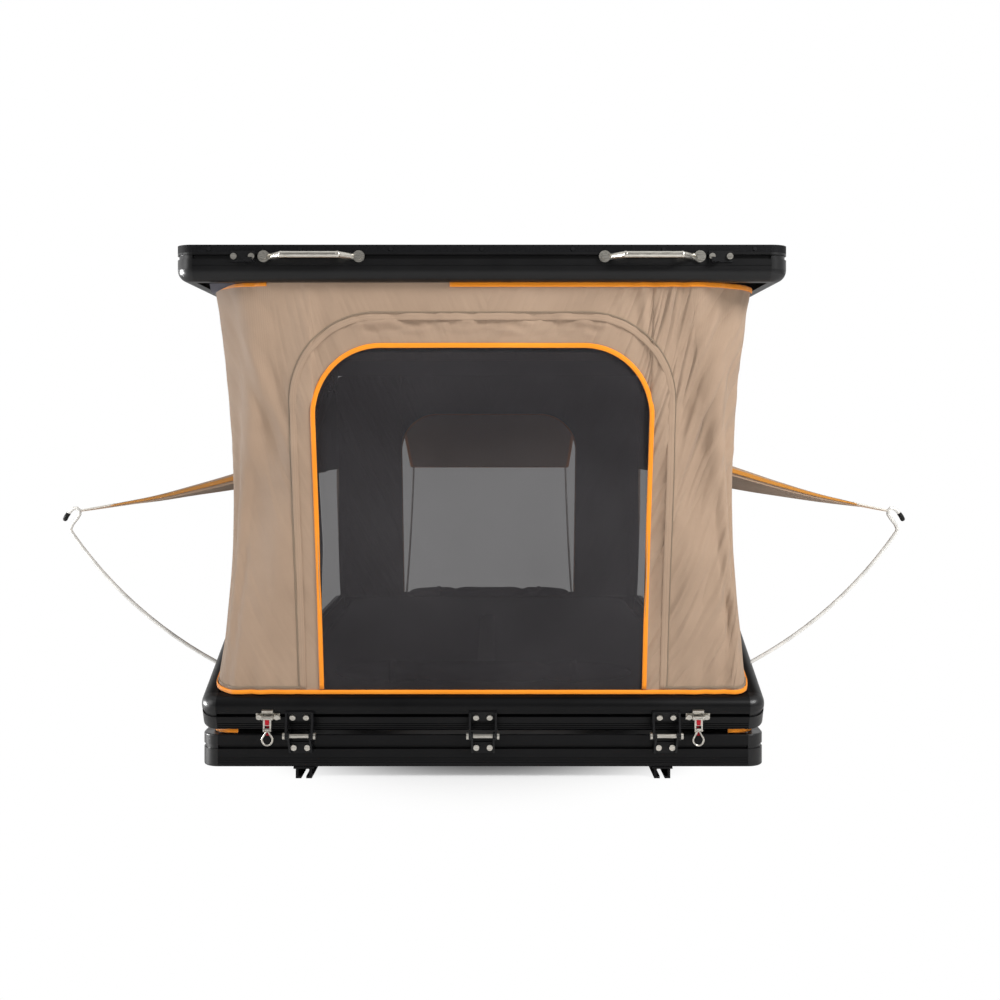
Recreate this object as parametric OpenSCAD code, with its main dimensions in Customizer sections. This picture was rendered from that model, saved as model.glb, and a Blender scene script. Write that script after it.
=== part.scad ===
// Hard-shell roof top tent that unfolds as a Z: tray, sloping middle ring, level roof shell.
// X runs across the tent, Y from its front to its rear, Z up. Lengths are in millimetres.

/* [Shells] */
// Width across the shells
shell_w = 1260; // [1150:10:1400]
// Length of each shell
shell_l = 2230; // [2100:10:2400]
// Height of a ring profile
rail_h = 72; // [68:1:84]
// Depth of a ring profile from outer to inner face
rail_d = 38; // [36:1:44]
// Gap between the closed shells
shell_gap = 1; // [0.5:0.5:3]
// Opening angle of each wedge
open_deg = 23.7; // [18:0.1:26]

/* [Ring profile] */
// Mouth of the bolt slot
slot_open = 9; // [7:0.5:11]
// Thickness of the slot lips
slot_lip = 3; // [2:0.5:4]
// Inner height of the bolt slot
slot_in = 16; // [14:0.5:18]
// Inner depth of the bolt slot
slot_deep = 6; // [5:0.5:8]
// Slot height above the bottom of the tray ring
tray_slot_z = 44; // [38:1:46]
// Slot height above the bottom of the middle ring
mid_slot_z = 38; // [34:1:40]
// Slot height above the bottom of the roof ring
lid_slot_z = 49; // [44:1:52]
// Radius of the rolled edge on the middle and roof rings
edge_r = 24; // [16:1:26]
// Radius of the plain outer edges
small_r = 3; // [1:0.5:5]
// Depth of the decorative grooves
rib_deep = 1.2; // [0.6:0.2:2]
// Width of a decorative groove
rib_w = 2; // [1:0.5:3]
// Distance from groove to groove
rib_pitch = 5; // [4:0.5:7]
// Wall round the hollow chamber of a rail
chamber_wall = 4; // [3:0.5:6]

/* [Floor, roof and bed] */
// Height of the mounting rails
mount_h = 26; // [20:1:34]
// Width of a mounting rail
mount_w = 36; // [30:1:46]
// Distance from the centre to each mounting rail
mount_x = 400; // [320:5:460]
// Mouth of the mounting channel
mount_mouth = 11; // [9:0.5:13]
// Inner width of the mounting channel
mount_in = 24; // [20:0.5:26]
// Thickness of the floor panel
floor_t = 10; // [8:0.5:14]
// Floor panel height above the bottom of the tray ring
floor_z = 6; // [4:0.5:10]
// Depth that the floor panel enters the rails
floor_in = 6; // [4:0.5:8]
// Thickness of the mattress
bed_t = 60; // [40:5:70]
// Clear strip between the mattress and the ring
bed_clear = 47; // [44:1:80]
// Corner radius of the mattress
bed_r = 60; // [40:5:90]
// Thickness of the roof skin
skin_t = 1.5; // [1:0.25:2.5]
// Height of the skin's folded edge
skin_fold = 14; // [10:1:16]
// Thickness of the panel under the roof skin
roof_panel_t = 10; // [8:1:16]

/* [Hinges] */
// Distance from the centre to each outer hinge
hinge_x = 406; // [340:2:430]
// Pin distance in front of the ring face
pin_out = 25; // [20:1:30]
// Pin height above the top of the lower ring
pin_rise = 3; // [1:0.5:5]
// Pin radius
pin_r = 5; // [4:0.25:6]
// Running clearance round a pin
pin_play = 0.05; // [0.02:0.01:0.1]
// Radius of a leaf's eye
eye_r = 9; // [8:0.5:10]
// Thickness of leaf plates and flanges
leaf_t = 4.5; // [3:0.5:5]
// Width of an upper leaf
leaf_w = 62; // [52:1:66]
// Half height of a leaf plate
leaf_half = 12; // [10:0.5:13]
// Side clearance between moving faces
side_play = 0.4; // [0.3:0.1:0.8]
// Distance between the two bolts of a leaf
leaf_bolts = 30; // [26:1:32]

/* [Latches and handles] */
// Distance from the centre to each latch and keeper
latch_x = 476; // [470:1:490]
// Distance from a roof keeper's hook to the middle of its plate
keeper_off = 12; // [0:1:14]
// Width of a latch base
latch_w = 53; // [50:1:58]
// Lever length from its pivot
lever_l = 26; // [22:1:32]
// Lever width over both legs
lever_w = 18; // [16:0.5:19]
// Pivot distance in front of the ring face
latch_out = 12; // [11:0.5:14]
// Radius of the latch pivots
latch_pin_r = 2.5; // [2:0.25:3]
// Wire radius of the loop
wire_r = 2; // [1.5:0.25:2.25]
// Radius of the loop to the wire's centre
loop_r = 11.5; // [9:0.5:13]
// Distance from the centre to a front handle's outer bolt
handle_x = 445; // [420:1:448]
// Distance between a handle's bolts
handle_span = 194; // [160:2:200]
// Radius of the grip
grip_r = 6.5; // [5:0.5:8]
// Grip distance in front of the ring face
grip_out = 30; // [26:1:40]
// Radius of a handle foot
foot_r = 12; // [10:0.5:14]

/* [Fasteners] */
// Radius of a bolt shank
bolt_r = 3; // [2.5:0.25:3.5]
// Radius of a bolt head
bolt_head_r = 6.5; // [5.5:0.5:7]
// Height of a bolt head
bolt_head_h = 4.5; // [3:0.5:5]
// Clearance of bolt holes and nuts
bolt_play = 0.3; // [0.2:0.1:0.5]
// Radius of a roof rivet head
rivet_r = 4; // [3:0.5:5]

/* [Gas struts] */
// Hinge to the stud on the lower ring of a wedge
strut_near = 350; // [320:5:380]
// Hinge to the stud on the upper ring of a wedge
strut_far = 800; // [780:5:840]
// Clear distance from the ring to the strut's axis
strut_in = 27; // [24:1:32]
// Radius of a strut cylinder
strut_tube_r = 11; // [9:0.5:11]
// Radius of a strut rod
strut_rod_r = 5; // [4:0.5:6]
// Radius of the bracket studs
stud_r = 5; // [4:0.5:5.5]

/* [Canvas] */
// Thickness of the canvas
cloth_t = 3; // [2:0.5:4]
// Gap between canvas and shells
cloth_gap = 0.3; // [0.2:0.1:0.6]
// Setback of the canvas from the roof shell's front
cloth_front = 30; // [26:1:36]
// Plan radius of the canvas corners under the roof
cloth_top_r = 150; // [100:5:180]
// Plan radius of the canvas corners on the middle ring
cloth_low_r = 40; // [30:2:60]
// How far the corners draw in at half height
cloth_waist = 36; // [20:2:44]
// Depth of the main folds
cloth_fold = 7; // [3:1:9]
// Half width of the door
door_half = 357; // [300:5:380]
// Distance from the roof shell down to the door's top
door_drop = 130; // [120:5:200]
// Radius of the door's upper corners
door_r = 148; // [100:2:180]
// Radius of the piping
pipe_r = 5; // [4:0.5:6]
// Half width of the rear window
window_half = 350; // [300:5:380]
// Height of the window sills above the tray
sill = 18; // [16:2:40]
// Height of the rear window
window_h = 725; // [640:5:740]
// Radius of the rear window's upper corners
window_r = 150; // [100:5:180]
// Front end of the lower side windows, from the centre
side_window_y0 = 497; // [400:5:560]
// Rear end of the lower side windows, from the centre
side_window_y1 = 1000; // [900:5:1000]
// Height of the lower side windows
side_window_h = 510; // [430:5:540]
// Front end of the upper side windows, behind the shell's front
upper_window_y0 = 112; // [100:2:140]
// Rear end of the upper side windows, behind the shell's front
upper_window_y1 = 780; // [700:10:790]
// Distance from the roof shell down to the upper side windows
upper_window_drop = 402; // [396:2:430]
// Sill of the upper side windows above the middle ring
upper_window_sill = 66; // [56:2:80]
// Radius of a rolled panel
roll_r = 26; // [20:1:30]

/* [Awnings] */
// Length of a side awning rod from the shell to its bend
side_rod_l = 475; // [420:5:500]
// Slope of a side rod where it leaves the shell
side_rod_a0 = 27; // [24:1:34]
// Slope of a side rod at its bend
side_rod_a1 = 54; // [46:1:60]
// Side rod's hole, behind the shell's front
side_rod_y = 196; // [180:2:220]
// Side rod's hole above the bolt slot
side_rod_up = 4; // [2:1:8]
// How far a side rod leans to the rear
side_rod_back = 33; // [0:1:40]
// Length of a rear awning rod from the shell to its end
rear_rod_l = 695; // [640:5:720]
// Slope of a rear rod where it leaves the shell
rear_rod_a0 = 35; // [30:1:40]
// Slope of a rear rod at its end
rear_rod_a1 = 64; // [58:1:68]
// Rear rod's hole above the bolt slot
rear_rod_up = 17; // [15:1:20]
// Thickness of the awnings
awning_t = 2; // [1.5:0.5:3]
// Radius of the awning rods
rod_r = 4.5; // [4:0.25:5]
// Depth of the rods' holes in the rails
rod_deep = 20; // [16:1:24]
// Clearance round a rod in its hole
rod_play = 0.3; // [0.2:0.1:0.5]

/* [Hidden] */
$fn = 64;
// Overrun of cutting shapes
cut = 1;
half_w = shell_w / 2;
half_l = shell_l / 2;
in_w = half_w - rail_d;
in_l = half_l - rail_d;
tray_z = mount_h;
tray_top = tray_z + rail_h;
mid_z = tray_top + shell_gap;
mid_top = mid_z + rail_h;
lid_z = mid_top + shell_gap;
lid_top = lid_z + rail_h;
tray_slot = tray_z + tray_slot_z;
mid_slot = mid_z + mid_slot_z;
lid_slot = lid_z + lid_slot_z;

// Points in the side view are written as [y, z]
front_pin = [-half_l - pin_out, tray_top + pin_rise];
rear_pin = [half_l + pin_out, mid_top + pin_rise];

// Turns a side-view point p about c, raising the rear for a positive angle
function turn(p, c, a) = [
    c[0] + (p[0] - c[0]) * cos(a) - (p[1] - c[1]) * sin(a),
    c[1] + (p[0] - c[0]) * sin(a) + (p[1] - c[1]) * cos(a)
];
// A side-view point of the middle ring, moved from closed to open
function mid_open(p) = turn(p, front_pin, open_deg);
lid_shift = mid_open(rear_pin) - rear_pin;

lower_leaf_w = leaf_w - 2 * leaf_t - 2 * side_play;
hinge_at = [-hinge_x, 0, hinge_x];
pin_head_r = pin_r + 3;
pin_head_t = 5;

module both_x() {
    children();
    mirror([1, 0, 0]) children();
}
module both_y() {
    children();
    mirror([0, 1, 0]) children();
}
module mid_place() {
    translate([0, front_pin[0], front_pin[1]]) rotate([open_deg, 0, 0])
        translate([0, -front_pin[0], -front_pin[1]]) children();
}
module lid_place() {
    translate([0, lid_shift[0], lid_shift[1]]) children();
}
// Local axes on a front face: x across, y up, z outward
module at_front(x, z) {
    translate([x, -half_l, z]) rotate([90, 0, 0]) children();
}
module at_rear(x, z) {
    mirror([0, 1, 0]) at_front(x, z) children();
}

// Ring profile: x from the inner to the outer face, y up
module outline(top_r, low_r) {
    difference() {
        square([rail_d, rail_h]);
        if (top_r > 0) translate([rail_d - top_r, rail_h - top_r]) difference() {
            square(top_r + cut);
            circle(top_r);
        }
        if (low_r > 0) translate([rail_d - low_r, low_r]) mirror([0, 1]) difference() {
            square(low_r + cut);
            circle(low_r);
        }
    }
}
chamber_d = rail_d - slot_lip - slot_deep - 2 * chamber_wall;
chamber_z = floor_z + floor_t + chamber_wall;
chamber_h = rail_h - edge_r / 2 - chamber_z;
// Corner casting's section, with a groove that carries the bolt slot round
module corner_profile(slot_z, top_r, low_r) {
    difference() {
        outline(top_r, low_r);
        translate([rail_d - slot_lip, slot_z - slot_open / 2]) square([slot_lip + cut, slot_open]);
    }
}
module rail_profile(slot_z, top_r, low_r, rib_z, ribs) {
    difference() {
        outline(top_r, low_r);
        translate([rail_d - slot_lip, slot_z - slot_open / 2]) square([slot_lip + cut, slot_open]);
        translate([rail_d - slot_lip - slot_deep, slot_z - slot_in / 2]) square([slot_deep, slot_in]);
        for (i = [0:ribs - 1])
            translate([rail_d - rib_deep, rib_z + i * rib_pitch]) square([rib_deep + cut, rib_w]);
        translate([chamber_wall, chamber_z]) square([chamber_d, chamber_h]);
    }
}
module end_rails(z) {
    both_y() translate([0, in_l, z]) rotate([90, 0, 90]) linear_extrude(2 * in_w, center = true) children();
}
module side_rails(z) {
    both_x() translate([in_w, 0, z]) rotate([90, 0, 0]) linear_extrude(2 * in_l, center = true) children();
}
module ring_corners(z) {
    both_x() both_y() translate([in_w, in_l, z]) rotate_extrude(angle = 90) children();
}

// Tray
floor_play = 0.3;
tray_rib_z = 9;
module floor_groove() {
    translate([-cut, floor_z - floor_play]) square([floor_in + floor_play + cut, floor_t + 2 * floor_play]);
}
module tray_profile() {
    difference() {
        rail_profile(tray_slot_z, small_r, small_r, tray_rib_z, 3);
        floor_groove();
    }
}
module tray_end_rails() {
    color("black") difference() {
        end_rails(tray_z) tray_profile();
        rear_rod_holes();
    }
}
module tray_side_rails() {
    color("black") side_rails(tray_z) tray_profile();
}
module tray_corners() {
    color("black") ring_corners(tray_z) corner_profile(tray_slot_z, small_r, small_r);
}
module floor_panel() {
    color("dimgray") translate([0, 0, tray_z + floor_z]) linear_extrude(floor_t) {
        square([2 * (in_w + floor_in), 2 * (in_l - floor_play)], center = true);
        square([2 * (in_w - floor_play), 2 * (in_l + floor_in)], center = true);
    }
}
// Mounting rail section with its channel open downward and two splayed feet
mount_top = 5;
mount_lip = 5;
module mount_profile() {
    difference() {
        union() {
            translate([-mount_w / 2, 0]) square([mount_w, mount_h]);
            translate([-mount_w / 2 - mount_lip, mount_h - mount_top]) square([mount_w + 2 * mount_lip, mount_top]);
        }
        translate([-mount_mouth / 2, -cut]) square([mount_mouth, mount_h / 2]);
        translate([-mount_in / 2, mount_lip]) square([mount_in, mount_h - mount_top - mount_lip]);
    }
}
module mounting_rails() {
    color("black") both_x() translate([mount_x, 0, 0]) rotate([90, 0, 0])
        linear_extrude(shell_l, center = true) mount_profile();
}

// Middle ring
mid_rib_z = 5;
module mid_end_rails() {
    color("black") mid_place() end_rails(mid_z) rail_profile(mid_slot_z, edge_r, small_r, mid_rib_z, 3);
}
module mid_side_rails() {
    color("black") difference() {
        mid_place() side_rails(mid_z) rail_profile(mid_slot_z, edge_r, small_r, mid_rib_z, 3);
        side_rod_holes();
    }
}
module mid_corners() {
    color("black") mid_place() ring_corners(mid_z) corner_profile(mid_slot_z, edge_r, small_r);
}

// Roof shell
lid_rib_z = 30;
rivet_rows_x = 7;
rivet_rows_y = 11;
rivet_inset = 34;
rivet_shank_r = 2;
rivet_long = 7;
rivet_head_h = 1.6;
rivet_z = lid_top - skin_fold / 2;
module skin_recess() {
    translate([rail_d - skin_t, rail_h - skin_fold]) square([skin_t + cut, skin_fold + cut]);
}
module lid_profile() {
    difference() {
        rail_profile(lid_slot_z, 0, edge_r, lid_rib_z, 1);
        skin_recess();
    }
}
// Places its child at every rivet, with z outward from the skin
module rivet_spots() {
    step_x = 2 * (in_w - rivet_inset) / (rivet_rows_x - 1);
    step_y = 2 * (in_l - rivet_inset) / (rivet_rows_y - 1);
    both_y() for (i = [0:rivet_rows_x - 1])
        at_front(rivet_inset - in_w + i * step_x, rivet_z) children();
    both_x() for (i = [0:rivet_rows_y - 1])
        translate([half_w, rivet_inset - in_l + i * step_y, rivet_z]) rotate([0, 90, 0]) children();
}
module rivet_holes() {
    rivet_spots() translate([0, 0, -rivet_long - bolt_play]) cylinder(r = rivet_shank_r + bolt_play, h = rivet_long + cut);
}
module lid_end_rails() {
    color("black") lid_place() difference() {
        end_rails(lid_z) lid_profile();
        rivet_holes();
    }
}
module lid_side_rails() {
    color("black") lid_place() difference() {
        side_rails(lid_z) lid_profile();
        rivet_holes();
    }
}
module lid_corners() {
    color("black") lid_place() ring_corners(lid_z) difference() {
        corner_profile(lid_slot_z, 0, edge_r);
        skin_recess();
    }
}
module plan(w, l, r) {
    square([2 * (w - r), 2 * l], center = true);
    square([2 * w, 2 * (l - r)], center = true);
    both_x() both_y() translate([w - r, l - r]) circle(r);
}
module roof_skin() {
    color("black") lid_place() difference() {
        union() {
            translate([0, 0, lid_top]) linear_extrude(skin_t) plan(half_w, half_l, rail_d);
            translate([0, 0, lid_top - skin_fold]) linear_extrude(skin_fold) difference() {
                plan(half_w, half_l, rail_d);
                plan(half_w - skin_t, half_l - skin_t, rail_d - skin_t);
            }
        }
        rivet_holes();
    }
}
module roof_panel() {
    color("gray") lid_place() translate([0, 0, lid_top - roof_panel_t]) linear_extrude(roof_panel_t)
        square([2 * (in_w - floor_play), 2 * (in_l - floor_play)], center = true);
}
module roof_rivets() {
    color("silver") lid_place() rivet_spots() {
        cylinder(r = rivet_r, h = rivet_head_h);
        translate([0, 0, -rivet_long]) cylinder(r = rivet_shank_r, h = rivet_long + rivet_head_h / 2);
    }
}

// Hinges
flange_step = 2;
module flange(up, dz) {
    polygon([
        [0, up * (dz - leaf_half)], [0, up * (dz + leaf_half)], [leaf_t + flange_step, up * (dz + leaf_half)],
        [pin_out + eye_r, 0], [pin_out - eye_r, 0]
    ]);
    translate([pin_out, 0]) circle(eye_r);
}
// One leaf, from the pin's height on the face; up is 1 for an upper leaf and -1 for a lower one
module leaf(up, dz, w) {
    difference() {
        union() {
            translate([-w / 2, up * dz - leaf_half, 0]) cube([w, 2 * leaf_half, leaf_t]);
            for (s = [-1, 1]) translate([s * (w - leaf_t) / 2, 0, 0]) rotate([0, -90, 0])
                linear_extrude(leaf_t, center = true) flange(up, dz);
        }
        for (s = [-1, 1]) translate([s * leaf_bolts / 2, up * dz, -cut])
            cylinder(r = bolt_r + bolt_play, h = leaf_t + 2 * cut);
        translate([-w / 2 - cut, 0, pin_out]) rotate([0, 90, 0]) cylinder(r = pin_r + pin_play, h = w + 2 * cut);
    }
}
module hinge_pin() {
    reach = leaf_w / 2 + side_play;
    translate([-reach, 0, pin_out]) rotate([0, 90, 0]) cylinder(r = pin_r, h = 2 * reach);
    for (s = [0, 1]) mirror([s, 0, 0]) translate([reach, 0, pin_out]) rotate([0, 90, 0])
        cylinder(r = pin_head_r, h = pin_head_t);
}
module front_hinge_lower_leaves() {
    color("dimgray") for (x = hinge_at) at_front(x, front_pin[1]) leaf(-1, front_pin[1] - tray_slot, lower_leaf_w);
}
module front_hinge_upper_leaves() {
    color("dimgray") mid_place() for (x = hinge_at) at_front(x, front_pin[1]) leaf(1, mid_slot - front_pin[1], leaf_w);
}
module front_hinge_pins() {
    color("silver") for (x = hinge_at) at_front(x, front_pin[1]) hinge_pin();
}
module rear_hinge_lower_leaves() {
    color("dimgray") mid_place() for (x = hinge_at) at_rear(x, rear_pin[1]) leaf(-1, rear_pin[1] - mid_slot, lower_leaf_w);
}
module rear_hinge_upper_leaves() {
    color("dimgray") lid_place() for (x = hinge_at) at_rear(x, rear_pin[1]) leaf(1, lid_slot - rear_pin[1], leaf_w);
}
module rear_hinge_pins() {
    color("silver") mid_place() for (x = hinge_at) at_rear(x, rear_pin[1]) hinge_pin();
}

// Bolt with its nut in the slot; z is outward from the ring face and grip is what it clamps
nut_t = 4;
nut_w = 13;
module slot_bolt(grip) {
    translate([0, 0, grip]) cylinder(r = bolt_head_r, h = bolt_head_h);
    translate([0, 0, -slot_lip - slot_deep + cut]) cylinder(r = bolt_r, h = slot_lip + slot_deep - cut + grip + cut);
    translate([-nut_w / 2, bolt_play - slot_in / 2, -slot_lip - nut_t]) cube([nut_w, slot_in - 2 * bolt_play, nut_t]);
}
module bolt_pair(spacing, grip) {
    for (s = [-1, 1]) translate([s * spacing / 2, 0, 0]) slot_bolt(grip);
}
module bolt_holes(spacing, grip) {
    for (s = [-1, 1]) translate([s * spacing / 2, 0, -cut]) cylinder(r = bolt_r + bolt_play, h = grip + 2 * cut);
}

// Latches: x across, y up, z outward from the ring face, from the slot's height
latch_t = 3;
latch_half = 8;
cap_w = 25;
cap_top = 17;
cap_t = 6;
pivot_up = 2;
cheek_r = 5;
cheek_x = lever_w / 2 + side_play;
latch_bolts = latch_w - 2 * bolt_head_r - 1;
module latch_base() {
    difference() {
        union() {
            translate([-latch_w / 2, -latch_half, 0]) cube([latch_w, 2 * latch_half, latch_t]);
            translate([-cap_w / 2, latch_half, 0]) cube([cap_w, cap_top - latch_half, cap_t]);
            for (s = [0, 1]) mirror([s, 0, 0]) translate([cheek_x + latch_t, 0, 0]) rotate([0, -90, 0])
                linear_extrude(latch_t) {
                    polygon([[0, -latch_half], [0, latch_half], [latch_out, pivot_up + cheek_r], [latch_out, pivot_up - cheek_r]]);
                    translate([latch_out, pivot_up]) circle(cheek_r);
                }
        }
        bolt_holes(latch_bolts, latch_t);
        translate([-latch_w / 2, pivot_up, latch_out]) rotate([0, 90, 0])
            cylinder(r = latch_pin_r + pin_play, h = latch_w);
    }
}
// Lever from its pivot, with two legs, a safety catch between them and the loop's cross pin
leg_w = 3.5;
leg_t = 5;
knuckle_r = 4.5;
catch_t = 3;
catch_top = 5;
module lever() {
    pin_l = 2 * (cheek_x + latch_t) + 2;
    leg_x = lever_w / 2 - leg_w;
    rotate([0, 90, 0]) cylinder(r = latch_pin_r, h = pin_l, center = true);
    rotate([0, 90, 0]) cylinder(r = knuckle_r, h = lever_w, center = true);
    for (s = [0, 1]) mirror([s, 0, 0]) {
        translate([leg_x, -lever_l, -leg_t / 2]) cube([leg_w, lever_l, leg_t]);
        translate([leg_x, -lever_l, 0]) rotate([0, 90, 0]) cylinder(r = knuckle_r, h = leg_w);
    }
    translate([0, -lever_l, 0]) rotate([0, 90, 0]) cylinder(r = latch_pin_r, h = lever_w, center = true);
    translate([-leg_x, catch_top + knuckle_r - lever_l, -catch_t / 2])
        cube([2 * leg_x, lever_l - catch_top - knuckle_r, catch_t]);
}
// Wire loop, drop shaped, from its pivot
bail_l = 8;
bail_drop = 11;
bail_eye_r = latch_pin_r + 1.6;
// From the eye to the middle of the loop's round, and the slope of the straight wires that meet the round
loop_drop = bail_drop + loop_r;
wire_slope = asin(loop_r / loop_drop);
// Swelling of the wire where it is welded
bead = 0.4;
module bail() {
    difference() {
        union() {
            rotate([0, 90, 0]) cylinder(r = bail_eye_r, h = bail_l, center = true);
            for (s = [-1, 1]) rotate([90, 0, s * wire_slope]) {
                cylinder(r = wire_r, h = loop_drop * cos(wire_slope));
                translate([0, 0, loop_drop * cos(wire_slope)]) sphere(wire_r + bead);
            }
        }
        rotate([0, 90, 0]) cylinder(r = latch_pin_r + pin_play, h = bail_l + cut, center = true);
    }
    translate([0, -loop_drop, 0]) rotate([0, 0, 180 - wire_slope]) rotate_extrude(angle = 180 + 2 * wire_slope)
        translate([loop_r, 0]) circle(wire_r);
}
front_pivot = mid_open([-half_l - latch_out, mid_slot + pivot_up]);
rear_pivot = [half_l + latch_out, tray_slot + pivot_up];
// Hanging straight down from the front pivot on side s, or from the rear one
module front_hang(s) {
    translate([s * latch_x, front_pivot[0], front_pivot[1]]) rotate([90, 0, 0]) children();
}
module rear_hang(s) {
    translate([s * latch_x, rear_pivot[0], rear_pivot[1]]) rotate([90, 0, 180]) children();
}
module front_latch_bases() {
    color("dimgray") mid_place() both_x() at_front(latch_x, mid_slot) latch_base();
}
module rear_latch_bases() {
    color("dimgray") both_x() at_rear(latch_x, tray_slot) latch_base();
}
module front_lever_left() {
    color("red") front_hang(-1) lever();
}
module front_lever_right() {
    color("red") front_hang(1) lever();
}
module rear_lever_left() {
    color("red") rear_hang(-1) lever();
}
module rear_lever_right() {
    color("red") rear_hang(1) lever();
}
module front_bail_left() {
    color("silver") front_hang(-1) translate([0, -lever_l, 0]) bail();
}
module front_bail_right() {
    color("silver") front_hang(1) translate([0, -lever_l, 0]) bail();
}
module rear_bail_left() {
    color("silver") rear_hang(-1) translate([0, -lever_l, 0]) bail();
}
module rear_bail_right() {
    color("silver") rear_hang(1) translate([0, -lever_l, 0]) bail();
}

// Keepers that the loops hook over
keeper_w = 50;
keeper_half = 11.5;
keeper_bolts = keeper_w - 2 * bolt_head_r - 1;
hook_w = 16;
hook_t = 4;
hook_out = 14;
hook_up = 9;
// Plate with its middle at off from the hook
module keeper(off) {
    difference() {
        translate([off - keeper_w / 2, -keeper_half, 0]) cube([keeper_w, 2 * keeper_half, latch_t]);
        translate([off, 0, 0]) bolt_holes(keeper_bolts, latch_t);
    }
    translate([-hook_w / 2, -keeper_half, 0]) cube([hook_w, hook_t, hook_out]);
    translate([-hook_w / 2, -keeper_half, hook_out - hook_t]) cube([hook_w, hook_up, hook_t]);
}
module lid_keepers() {
    color("black") lid_place() both_x() at_front(latch_x, lid_slot) keeper(keeper_off);
}
module mid_keepers() {
    color("black") mid_place() both_x() at_rear(latch_x, mid_slot) keeper(0);
}

// Grab handles
foot_t = 6;
tongue_l = 20;
tongue_w = 12;
rise_in = 40;
bend_r = grip_r + 0.5;
rise_at = 15;
module handle() {
    rise_x = handle_span / 2 - rise_in;
    start_x = handle_span / 2 - rise_at;
    slope = atan2(start_x - rise_x, grip_out - foot_t / 2);
    rise = norm([start_x - rise_x, grip_out - foot_t / 2]);
    difference() {
        for (s = [0, 1]) mirror([s, 0, 0]) {
            translate([handle_span / 2, 0, 0]) cylinder(r = foot_r, h = foot_t);
            translate([handle_span / 2 - tongue_l, -tongue_w / 2, 0]) cube([tongue_l, tongue_w, foot_t]);
        }
        bolt_holes(handle_span, foot_t);
    }
    for (s = [0, 1]) mirror([s, 0, 0]) {
        difference() {
            translate([start_x, 0, foot_t / 2]) rotate([0, -slope, 0]) translate([0, 0, -grip_r])
                cylinder(r = grip_r, h = rise + grip_r);
            translate([0, -foot_r, -2 * foot_r]) cube([handle_span, 2 * foot_r, 2 * foot_r]);
            translate([handle_span / 2, 0, foot_t]) cylinder(r = bolt_head_r + bolt_play, h = grip_out);
        }
        translate([rise_x, 0, grip_out]) sphere(bend_r);
    }
    translate([-rise_x, 0, grip_out]) rotate([0, 90, 0]) cylinder(r = grip_r, h = 2 * rise_x);
}
front_handle_x = handle_x - handle_span / 2;
rear_handle_x = hinge_x / 2;
module lid_handles() {
    color("silver") lid_place() both_x() at_front(front_handle_x, lid_slot) handle();
}
module mid_handles() {
    color("silver") mid_place() both_x() at_rear(rear_handle_x, mid_slot) handle();
}

// Bolts of each ring
module tray_bolts() {
    color("silver") {
        for (x = hinge_at) at_front(x, tray_slot) bolt_pair(leaf_bolts, leaf_t);
        both_x() at_rear(latch_x, tray_slot) bolt_pair(latch_bolts, latch_t);
    }
}
module mid_bolts() {
    color("silver") mid_place() {
        for (x = hinge_at) at_front(x, mid_slot) bolt_pair(leaf_bolts, leaf_t);
        for (x = hinge_at) at_rear(x, mid_slot) bolt_pair(leaf_bolts, leaf_t);
        both_x() at_front(latch_x, mid_slot) bolt_pair(latch_bolts, latch_t);
        both_x() at_rear(latch_x, mid_slot) bolt_pair(keeper_bolts, latch_t);
        both_x() at_rear(rear_handle_x, mid_slot) bolt_pair(handle_span, foot_t);
    }
}
module lid_bolts() {
    color("silver") lid_place() {
        for (x = hinge_at) at_rear(x, lid_slot) bolt_pair(leaf_bolts, leaf_t);
        both_x() at_front(latch_x + keeper_off, lid_slot) bolt_pair(keeper_bolts, latch_t);
        both_x() at_front(front_handle_x, lid_slot) bolt_pair(handle_span, foot_t);
    }
}

// Gas struts, one pair to each wedge
strut_x = in_w - strut_in;
stud_drop = 20;
bracket_t = 4;
bracket_l = 50;
bracket_h = 30;
strut_eye_w = 10;
strut_eye_wall = 4;
strut_eye_r = stud_r + strut_eye_wall;
stud_head = 2.5;
strut_neck = 16;
strut_overlap = 40;
strut_play = 0.3;
low_stud = [front_pin[0] + strut_near, tray_top - stud_drop];
low_end_closed = [front_pin[0] + strut_far, mid_z + stud_drop];
low_end = mid_open(low_end_closed);
up_stud = [rear_pin[0] - strut_near, mid_top - stud_drop];
up_end_closed = [rear_pin[0] - strut_far, lid_z + stud_drop];
up_end = turn(up_end_closed, rear_pin, -open_deg);
tube_l = 0.6 * norm(low_end_closed - low_stud);
rod_l = norm(low_end - low_stud) - tube_l + strut_overlap;
// Puts local z along the line from p to q, at the strut's distance on side s
module strut_line(s, p, q) {
    translate([s * strut_x, p[0], p[1]]) rotate([atan2(q[1] - p[1], q[0] - p[0]) - 90, 0, 0]) children();
}
module strut_eye() {
    difference() {
        union() {
            rotate([0, 90, 0]) cylinder(r = strut_eye_r, h = strut_eye_w, center = true);
            cylinder(r = strut_rod_r, h = strut_neck + cut);
        }
        rotate([0, 90, 0]) cylinder(r = stud_r + pin_play, h = strut_eye_w + cut, center = true);
    }
}
module strut_tube() {
    strut_eye();
    difference() {
        translate([0, 0, strut_neck]) cylinder(r = strut_tube_r, h = tube_l - strut_neck);
        translate([0, 0, 2 * strut_neck]) cylinder(r = strut_rod_r + strut_play, h = tube_l);
    }
}
module strut_rod() {
    strut_eye();
    translate([0, 0, strut_neck]) cylinder(r = strut_rod_r, h = rod_l - strut_neck);
}
module lower_strut_tube_left() {
    color("black") strut_line(-1, low_stud, low_end) strut_tube();
}
module lower_strut_tube_right() {
    color("black") strut_line(1, low_stud, low_end) strut_tube();
}
module lower_strut_rod_left() {
    color("silver") strut_line(-1, low_end, low_stud) strut_rod();
}
module lower_strut_rod_right() {
    color("silver") strut_line(1, low_end, low_stud) strut_rod();
}
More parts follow.
